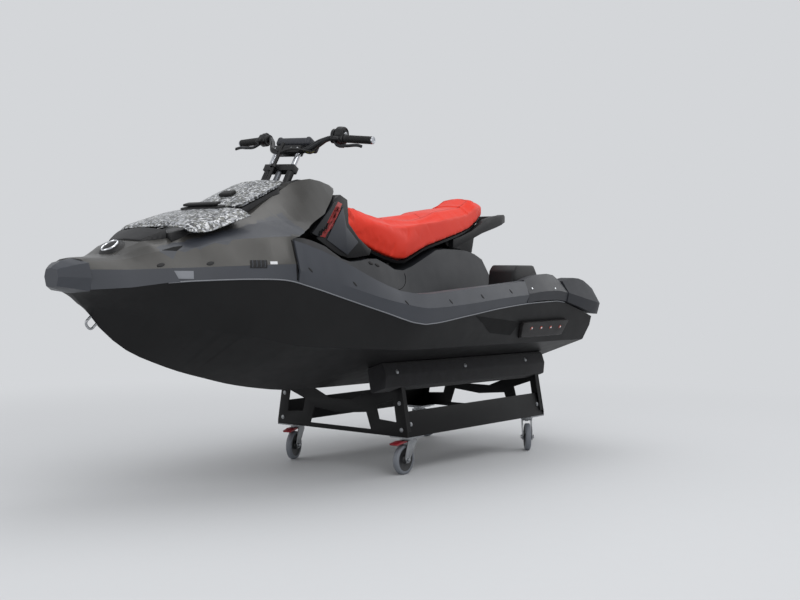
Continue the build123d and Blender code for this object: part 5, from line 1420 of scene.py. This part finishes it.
    def dots(
        self,
        name: str,
        skin: Skin,
        places: Sequence[Pair],
        size: Triple,
        tilt: float,
        coat: Coat,
    ) -> None:
        """Seats one small rounded head at each place on both sides.

        Args:
            name: The piece's name.
            skin: The surface that carries them.
            places: x and z of each, in metres.
            size: Length, width and height of a head in millimetres.
            tilt: Turn about the surface's normal in degrees, on port.
            coat: Their finish.
        """
        bm = bmesh.new()
        for side in (1, -1):
            for x, z in places:
                point, normal = skin.beside(x, z, side)
                head = turned(HEAD)
                bmesh.ops.scale(head, vec=(size[0] / 2, size[1] / 2, size[2]), verts=head.verts)
                join(bm, head, upright(point, normal) @ turn_about("Z", tilt * side) @ shift(0, 0, -0.6))
        add(name, bm, coat)

    def panel(
        self,
        name: str,
        skin: Skin,
        corners: Sequence[Pair],
        lift_mm: float,
        coat: Coat,
        steps: tuple[int, int] = (8, 4),
    ) -> None:
        """Lays one thin panel on both sides.

        Args:
            name: The piece's name.
            skin: The surface that carries it.
            corners: x and z of its corners, in metres.
            lift_mm: How far it stands off the surface.
            coat: Its finish.
            steps: Number of faces along and up.
        """
        bm = bmesh.new()
        for side in (1, -1):
            join(bm, patch(skin, corners, side, lift_mm, steps))
        add(name, bm, coat)

    def louvres(self) -> None:
        """Four upright bars across each side vent."""
        bm = bmesh.new()
        (x0, z0), (x1, _), (x2, z2), (x3, _) = self.vent
        for side in (1, -1):
            for share in (0.14, 0.38, 0.62, 0.86):
                low, high = x0 + (x1 - x0) * share, x3 + (x2 - x3) * share
                line = []
                for step in range(4):
                    x, z = low + (high - low) * step / 3, z0 + (z2 - z0) * step / 3
                    point, normal = self.hood.beside(x, z, side)
                    line.append(point + normal * 2.4 * MM)
                join(bm, rod(line, 1.7, 2))
        add("vent_bars", bm, Coat.RAIL)

    def seams(self) -> None:
        """Dark lines across the hood's flanks and on the pedestal, and the pedestal's vents."""
        bm = bmesh.new()
        deck = Skin("deck")
        for side in (1, -1):
            for skin, places, radius in ((self.hood, self.seam, 2.4), (deck, self.pedestal, 1.5)):
                join(bm, rod([skin.beside(x, z, side)[0] for x, z in places], radius, 2))
        add("seam_lines", bm, Coat.SHADE_AND_SEAM)
        self.dots("pedestal_vents", deck, self.ovals, (30, 13, 3.0), -20, Coat.RUBBER)


@dataclass
class NoseBadge:
    """Round blank badge with a chrome ring on top of the nose.

    Attributes:
        x: Its place along the craft, in metres.
        z: Height of the ring's middle, in metres.
        lean_deg: How far it leans forward.
        radius_mm: Radius of the ring's middle.
        dish: Share of that radius and height in millimetres, down the dish and its skirt.
        ring: Distance from that radius and height, round the ring's section.
    """

    x: float = 1.148
    z: float = 0.944
    lean_deg: float = 34.0
    radius_mm: float = 31.0
    dish: tuple[Pair, ...] = (
        (0, 6.0), (0.5, 5.4), (0.86, 3.4), (0.96, 2.6), (1.16, 1.6), (1.5, -5), (1.78, -22),
        (0, -22),
    )
    ring: tuple[Pair, ...] = ((-3.5, 1), (-3, 5), (0, 7.2), (3, 5), (3.5, 1), (-3.5, 1))

    def build(self) -> None:
        """Seats the domed dish and the ring."""
        lean = math.radians(self.lean_deg)
        normal = Vector((math.sin(lean), 0, math.cos(lean)))
        place = upright(Vector((self.x, 0.0, self.z)), normal)
        r = self.radius_mm
        dish = [(r * share, height) for share, height in self.dish]
        ring = [(r + off, height) for off, height in self.ring]
        bm = bmesh.new()
        join(bm, turned(dish, 48), place)
        add("badge_dish", bm, Coat.TRIM)
        bm = bmesh.new()
        join(bm, turned(ring, 48), place)
        add("badge_ring", bm, Coat.CHROME, sharp_deg=50)


@dataclass
class LidPulls:
    """Handles of the two lids.

    Attributes:
        lower: Length, width and height of the lower plate of the front lid's pull, in millimetres.
        upper: The same for its upper plate.
        small: The same for the upper lid's latch.
        sunk_mm: How far a handle's foot lies under the middle of its node.
        neck: Size of the neck between the two plates.
        top_ahead_mm: How far the upper plate stands ahead of the lower one.
        front_fall: Fall and run of the front lid's top, in metres.
        small_fall: The same for the upper lid.
    """

    lower: Triple = (40, 216, 11)
    upper: Triple = (34, 184, 10)
    small: Triple = (38, 66, 15)
    sunk_mm: float = 9.0
    neck: Triple = (22, 150, 4)
    top_ahead_mm: float = 4.0
    front_fall: Pair = (0.074, 0.291)
    small_fall: Pair = (0.110, 0.260)

    def build(self) -> None:
        """Puts both handles where their nodes are."""
        foot, tilt = self.foot("front_latch"), Matrix.Rotation(math.atan2(*self.front_fall), 4, "Y")
        low, neck = self.lower[2], self.neck[2]
        bm = bmesh.new()
        join(bm, rounded_block(*self.lower, 4.5), foot @ tilt)
        join(bm, rounded_block(*self.neck, 1.5), foot @ shift(0, 0, low) @ tilt)
        join(bm, rounded_block(*self.upper, 4.5), foot @ shift(self.top_ahead_mm, 0, low + neck) @ tilt)
        stand_in("front_lid_pull", bm, Coat.RUBBER, "front_latch")
        foot, tilt = self.foot("glovebox_latch"), Matrix.Rotation(math.atan2(*self.small_fall), 4, "Y")
        bm = bmesh.new()
        join(bm, rounded_block(*self.small, 5), foot @ tilt)
        stand_in("glovebox_lid_pull", bm, Coat.RUBBER, "glovebox_latch")

    def foot(self, node: str) -> Matrix:
        """The place of a handle's foot, under the middle of its node."""
        low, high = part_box(node)
        return Matrix.Translation(((low[0] + high[0]) / 2, 0, (low[2] + high[2]) / 2 - self.sunk_mm * MM))


@dataclass
class Handlebar:
    """Grips, housings, levers, switch drum, pad, plate and cables on the bars.

    Attributes:
        foot: Where the steering axis meets the hood, in metres.
        tilt_deg: Lean of the axis.
        rest_deg: Turn of the bars at rest.
        tip: End of the port bar about the axis, in millimetres.
        inner: Bend of the port bar.
        grip_mm: Length of a grip.
        grip_radius: Radius of a grip.
        rib_mm: Pitch of a grip's ribs.
        lever: Points of the port lever in its bar end's frame, Z counted from the housing's middle.
        brace: Y and Z of the corners of the brace between the risers, in the bars' frame.
        leads: Radius and points of each lead, in the bars' frame, from its housing to the guide.
        sleeve: Points of the coloured sleeve.
    """

    foot: Triple = (0.300, 0.0, 1.250)
    tilt_deg: float = 31.0
    rest_deg: float = 4.0
    tip: Triple = (-62, 355, 193)
    inner: Triple = (-32, 162, 188)
    grip_mm: float = 128.0
    grip_radius: float = 16.0
    rib_mm: float = 4.0
    lever: tuple[Triple, ...] = (
        (-22, -16, 4), (-34, -20, -16), (-36, -24, -60), (-32, -24, -110), (-37, -28, -132)
    )
    brace: tuple[Pair, ...] = ((-46, 98), (46, 98), (34, 86), (12, 80), (-12, 80), (-36, 86))
    leads: tuple[tuple[float, tuple[Triple, ...]], ...] = (
        (5.0, (
            (-30, 148, 172), (-34, 116, 148), (-30, 100, 118), (-8, 100, 100),
            (22, 92, 92), (42, 56, 86), (38, 2, 78),
        )),
        (4.0, (
            (-20, 152, 166), (-22, 122, 140), (-16, 110, 112), (8, 108, 98),
            (34, 84, 88), (46, 48, 80), (38, 0, 72),
        )),
        (3.8, ((-24, -150, 176), (4, -118, 146), (30, -74, 106), (44, -42, 86), (40, -14, 76))),
    )
    sleeve: tuple[Triple, ...] = (
        (-28, 136, 163), (-34, 112, 145), (-30, 104, 121), (-8, 105, 103), (22, 101, 91)
    )

    def place(self) -> Matrix:
        """The bars' own frame: Z up the steering axis."""
        tilt = math.radians(self.tilt_deg)
        along = Vector((math.cos(tilt), 0, math.sin(tilt)))
        axis = Vector((-math.sin(tilt), 0, math.cos(tilt)))
        turn = Matrix((along, axis.cross(along), axis)).transposed().to_4x4()
        return Matrix.Translation(self.foot) @ turn @ turn_about("Z", self.rest_deg)

    def end(self, side: int) -> Matrix:
        """The frame at one bar end: Z inwards along the grip, X nearly up."""
        tip = Vector((self.tip[0], self.tip[1] * side, self.tip[2])) * MM
        inner = Vector((self.inner[0], self.inner[1] * side, self.inner[2])) * MM
        z = (inner - tip).normalized()
        x = (Vector((0, 0, 1)) - z * z.z).normalized()
        turn = Matrix((x, z.cross(x), z)).transposed().to_4x4()
        return self.place() @ Matrix.Translation(tip) @ turn

    def build(self) -> None:
        """Makes everything on the bars."""
        self.grips()
        self.rings()
        self.housings()
        self.drum()
        self.pad()
        self.plate()
        self.cables()

    def add(self, name: str, bm: BMesh, coat: Coat, slot: str, sharp: float = 35.0) -> None:
        """Adds a piece that rides on the bars."""
        add(name, bm, coat, "handlebar", sharp)

    def grips(self) -> None:
        """Rubber grips with fine ribs between two collars."""
        bm = bmesh.new()
        count = int((self.grip_mm - 16) / self.rib_mm)
        r = self.grip_radius
        for side in (1, -1):
            profile = [(11.4, 0), (r - 1, 0), (r, 1), (r, 6)]
            for i in range(count):
                z = 7 + i * self.rib_mm
                profile += [(r - 1.3, z), (r - 1.3, z + 1), (r - 0.1, z + 1.8), (r - 0.1, z + 3.2)]
            end = self.grip_mm
            profile += [(r + 1.6, end - 7), (r + 2.2, end - 5), (r + 2.2, end - 1), (r, end), (11.4, end)]
            join(bm, turned(profile, 24), self.end(side))
        stand_in("bar_grips", bm, Coat.RUBBER, "grips", 35)

    def rings(self) -> None:
        """Bright end caps."""
        bm = bmesh.new()
        for side in (1, -1):
            cap = turned([(0, -4.5), (8, -4.5), (8.6, -6), (13.5, -6), (15, -4.6), (15, 0), (0, 0)], 32)
            join(bm, cap, self.end(side))
        stand_in("bar_end_caps", bm, Coat.BRIGHT, "bar_end_rings", 35)

    def housings(self) -> None:
        """Throttle and brake housings with their levers."""
        bm = bmesh.new()
        middle = self.grip_mm + 24
        for side in (1, -1):
            end = self.end(side)
            join(bm, rounded_block(42, 44, 46, 9, 4), end @ shift(0, 0, middle - 23))
            collar = turned([(12, 0), (19, 0), (21, 2), (21, 10), (19, 12), (12, 12)], 32)
            join(bm, collar, end @ shift(0, 0, middle + 24))
            join(bm, rounded_block(18, 34, 30, 6), end @ shift(-18, -16.8 * side, middle - 15))
        stand_in("control_housings", bm, Coat.TRIM, "bar_controls", 35)
        bm = bmesh.new()
        for side in (1, -1):
            line = [Vector((x, y * side, middle + along)) * MM for x, y, along in self.lever]
            lever = rod(line, 5.2, 3)
            bmesh.ops.scale(lever, vec=(1.35, 1, 1), verts=lever.verts)
            join(bm, lever, self.end(side))
        self.add("brake_levers", bm, Coat.BAR, "black_trim", 50)

    def drum(self) -> None:
        """Big round switch drum by the port grip, and a smaller button block on starboard."""
        port, starboard = self.end(1), self.end(-1)
        middle = self.grip_mm + 24
        foot = port @ shift(20, 0, middle - 17)
        drum = [(0, 0), (27, 0), (31, 3), (32, 10), (32, 24), (31, 31), (27, 34), (0, 34)]
        inner = [(0, 0), (21, 0), (24, 2), (25, 6), (25, 12), (23, 15), (0, 15)]
        loop = [(21, 0), (25, -3), (29, 0), (29, 4), (21, 4), (21, 0)]
        small = [(0, 0), (19, 0), (21, 2), (21, 20), (19, 24), (0, 24)]
        bm = bmesh.new()
        join(bm, turned(drum, 40), foot)
        join(bm, turned(inner, 40), port @ shift(16, 0, middle + 22))
        join(bm, turned(loop, 40), port @ shift(20, 0, middle - 18))
        join(bm, turned(small, 32), port @ shift(-4, 24, middle - 10))
        for angle in range(0, 360, 60):
            join(bm, rounded_block(9, 6, 4, 1.4, 2), foot @ turn_about("Z", angle) @ shift(15, 0, -3))
        join(bm, rounded_block(12, 26, 34, 4), starboard @ shift(24, 0, middle - 17))
        self.add("switch_drum", bm, Coat.TRIM, "black_trim")
        bm = bmesh.new()
        face = turned([(0, 0), (6, -1.6), (11, -1), (12, 1), (12, 4), (0, 4)], 32)
        join(bm, face, port @ shift(20, 0, middle - 20.6))
        for y in (-7, 7):
            join(bm, rounded_block(4, 9, 9, 1.5, 2), starboard @ shift(30, y, middle - 0.5))
        self.add("switch_keys", bm, Coat.STEEL, "stainless")

    def pad(self) -> None:
        """Foam pad over the clamp: a fat bolster with a cap at each end."""
        place = self.place() @ shift(-34, 0, 137)
        bm = bmesh.new()
        join(bm, rounded_block(76, 150, 36, 13, 5), place)
        for y in (-76, 76):
            join(bm, rounded_block(80, 26, 40, 12, 5), place @ shift(0, y, -0.8))
        made = stand_in("bar_pad_cover", bm, Coat.PAD, "bar_pad", 50)

    def plate(self) -> None:
        """Black brace between the risers, under the clamp, and the clamp's bolts."""
        bm = bmesh.new()
        face = bm.faces.new([bm.verts.new((0.008, y * MM, z * MM)) for y, z in self.brace])
        made = bmesh.ops.extrude_face_region(bm, geom=[face])
        moved = [v for v in made["geom"] if isinstance(v, bmesh.types.BMVert)]
        bmesh.ops.translate(bm, vec=(-0.014, 0, 0), verts=moved)
        bmesh.ops.recalc_face_normals(bm, faces=bm.faces)
        bevel(bm, bm.edges[:], 1.5)
        bm.transform(self.place())
        self.add("riser_brace", bm, Coat.TRIM, "black_trim")
        bm = bmesh.new()
        for y in (-60, -26, 26, 60):
            for x in (-1, 1):
                head = turned([(0, 5), (3.5, 5), (4.8, 4), (4.8, 0), (0, 0)], 12)
                join(bm, head, self.place() @ shift(x * 17, y, 104) @ turn_about("Y", x * 90))
        self.add("clamp_bolts", bm, Coat.STEEL, "stainless")

    def cables(self) -> None:
        """Switch, throttle and gate leads from the housings into the guide, one with a coloured sleeve."""
        for name, runs, coat in (
            ("bar_leads", self.leads, Coat.RUBBER),
            ("sleeved_lead", ((2.2, self.sleeve),), Coat.WIRE),
        ):
            bm = bmesh.new()
            for radius, run in runs:
                join(bm, rod([Vector(point) * MM for point in run], radius, 3), self.place())
            self.add(name, bm, coat, "grip_rubber", 60)


@dataclass
class Casters:
    """Tyres, hubs and bolts of the four casters.

    Attributes:
        trails: Corner and trail angle in degrees of each caster.
        radius: Radius of a wheel in millimetres.
        width: Width of its tyre.
    """

    trails: tuple[tuple[str, float], ...] = (
        ("front_port", 4.0),
        ("front_starboard", 20.0),
        ("rear_port", 40.0),
        ("rear_starboard", 150.0),
    )
    radius: float = 62.5
    width: float = 32.0

    def build(self) -> None:
        """Dresses all four casters."""
        for corner, angle in self.trails:
            self.wheel(corner, angle)
            dress(f"caster_fork_{corner}", Coat.ZINC, bevel_mm=0.8)
            self.bolts(corner, angle)
        for corner, _ in self.trails[:2]:
            dress(f"caster_brake_{corner}", Coat.PEDAL, bevel_mm=2.0)

    def axle(self, corner: str, angle: float) -> Matrix:
        """The frame of a wheel: Z along its axle."""
        low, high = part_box(f"caster_wheel_{corner}")
        middle = (Vector(low) + Vector(high)) / 2
        return Matrix.Translation(middle) @ turn_about("Z", angle) @ turn_about("X", 90)

    def wheel(self, corner: str, angle: float) -> None:
        """Cast tread on a dark moulded hub."""
        place = self.axle(corner, angle)
        half, r = self.width / 2, self.radius
        tread = [(48, 5.5 - half), (50, 3 - half), (57, 3.2 - half), (60.5, 5 - half), (r, 8.5 - half)]
        bm = bmesh.new()
        join(bm, turned(self.mirrored(tread), 40), place)
        stand_in(f"tyre_{corner}", bm, Coat.TREAD, f"caster_wheel_{corner}", 50)
        hub = [(6.1, 0), (15, 0), (17, 2), (19, 8), (42, 8), (46, 5), (49, 5)]
        bm = bmesh.new()
        join(bm, turned(self.mirrored([(radius, depth - half) for radius, depth in hub]), 40), place)
        for side in (1, -1):
            for number in range(5):
                spoke = turn_about("Z", 72 * number) @ shift(30, 0, side * 6 - 1.75)
                join(bm, rounded_block(28, 6, 3.5, 1.2, 1), place @ spoke)
        add(f"hub_{corner}", bm, Coat.HUB, f"wheel_{corner}")

    def mirrored(self, half: Sequence[Pair]) -> list[Pair]:
        """Closes half a wheel's section with its mirror image across the wheel's plane."""
        return [*half, *((radius, -height) for radius, height in reversed(half)), half[0]]

    def bolts(self, corner: str, angle: float) -> None:
        """Axle nuts and washers on a fork."""
        place = self.axle(corner, angle)
        washer = [(0, 1.4), (12.5, 1.4), (13, 0.8), (13, 0), (0, 0)]
        bm = bmesh.new()
        for side in (1, -1):
            out = place @ shift(0, 0, side * 23) @ turn_about("X", 0 if side > 0 else 180)
            join(bm, turned(washer), out)
            nut = bmesh.new()
            r, depth = 9 * MM, 7 * MM
            bmesh.ops.create_cone(nut, cap_ends=True, segments=6, radius1=r, radius2=r, depth=depth)
            bevel(nut, nut.edges[:], 0.7)
            join(bm, nut, out @ shift(0, 0, 4.6))
        add(f"axle_nuts_{corner}", bm, Coat.STEEL, f"fork_{corner}", 35)


@dataclass
class DollyFittings:
    """Bolts and folded lips of the dolly.

    Attributes:
        front_x: Front face of the front end plate, in metres.
        rear_x: Rear face of the rear end plate.
        lip_foot: y and z of the foot of a lip, in metres.
        lip_head: y and z of its head.
        bunk_bolts: x and z of the bolts through a bunk.
        side_bolts: x and z of the bolts through a side.
        end_bolts: y and z of the bolts through the front end plate.
    """

    front_x: float = -0.062
    rear_x: float = -1.085
    lip_foot: Pair = (0.3735, 0.182)
    lip_head: Pair = (0.338, 0.372)
    bunk_bolts: tuple[Pair, ...] = ((-0.03, 0.434), (-0.972, 0.426), (-0.50, 0.430))
    side_bolts: tuple[Pair, ...] = ((-0.10, 0.212), (-1.045, 0.212))
    end_bolts: tuple[Pair, ...] = ((0.345, 0.19), (0.332925, 0.30))

    def build(self) -> None:
        """Makes the lips and the bolts."""
        self.lips()
        self.bolts()

    def lips(self) -> None:
        """Folded lips along the outer legs of the end plates."""
        bm = bmesh.new()
        for x, way in ((self.front_x - 0.005, -1), (self.rear_x + 0.005, 1)):
            for side in (1, -1):
                foot, head = (Vector((x, y * side, z)) for y, z in (self.lip_foot, self.lip_head))
                run = head - foot
                lip = rounded_block(run.length / MM, 3, 24, 1.0, 1)
                along = run.normalized()
                up = Vector((way, 0, 0))
                turn = Matrix((along, up.cross(along), up)).transposed().to_4x4()
                place = Matrix.Translation(foot) @ turn @ Matrix.Translation((run.length / 2, 0, -0.001))
                join(bm, lip, place)
        add("end_plate_lips", bm, Coat.DOLLY, sharp_deg=35)

    def bolts(self) -> None:
        """Zinc bolts through the bunks, the sides and the front end plate."""
        bolt = [(0, 4.2), (4, 4.2), (6, 3.2), (6.4, 1.6), (9, 1.4), (9, -0.5), (0, -0.5)]
        bm = bmesh.new()
        for node, places in (("dolly_bunks", self.bunk_bolts), ("dolly_sides", self.side_bolts)):
            skin = Skin(node)
            for x, z in places:
                for side in (1, -1):
                    join(bm, turned(bolt, 20), upright(*skin.beside(x, z, side)))
        for side in (-1, 1):
            for y, z in self.end_bolts:
                spot = Matrix.Translation((self.front_x, side * y, z))
                join(bm, turned(bolt, 20), spot @ turn_about("Y", 90))
        add("dolly_bolts", bm, Coat.ZINC)


@dataclass
class SternFittings:
    """Eye plates and drain plugs on the transom.

    Attributes:
        transom_x: Where the transom is, in metres.
        eye_y: Distance of a stern eye from the middle.
        eye_z: Its height.
        drain_off: How far a drain plug lies under and inside of the eye.
    """

    transom_x: float = -1.240
    eye_y: float = 0.285
    eye_z: float = 0.560
    drain_off: Pair = (0.12, 0.09)

    def build(self) -> None:
        """Makes the plates round the stern eyes and the drain plugs."""
        under, inside = self.drain_off
        bm = bmesh.new()
        for side in (1, -1):
            eye = Matrix.Translation((self.transom_x, self.eye_y * side, self.eye_z))
            place = eye @ turn_about("Y", -90)
            for up in (-18, 18):
                disc = turned([(5.2, 0), (5.2, 2.2), (11, 2.2), (12, 1.4), (12, 0), (5.2, 0)])
                join(bm, disc, place @ shift(up, 0, 0))
            drain = turned([(0, 6), (9, 6), (11, 4), (11, 1.5), (16, 1.5), (16, 0), (0, 0)])
            join(bm, drain, place @ Matrix.Translation((-under, -inside * side, 0)))
        add("transom_hardware", bm, Coat.STEEL)


def main() -> None:
    """Builds the whole scene."""
    Studio().build()
    dress_plain()
    groups = (
        Saddle(),
        Hood(),
        FrontLid(),
        Bunks(),
        JointStripe(),
        SideFittings(),
        NoseBadge(),
        LidPulls(),
        Handlebar(),
        Casters(),
        DollyFittings(),
        SternFittings(),
    )
    for group in groups:
        LOG.info("building %s", type(group).__name__)
        group.build()


if __name__ == "__main__":
    main()
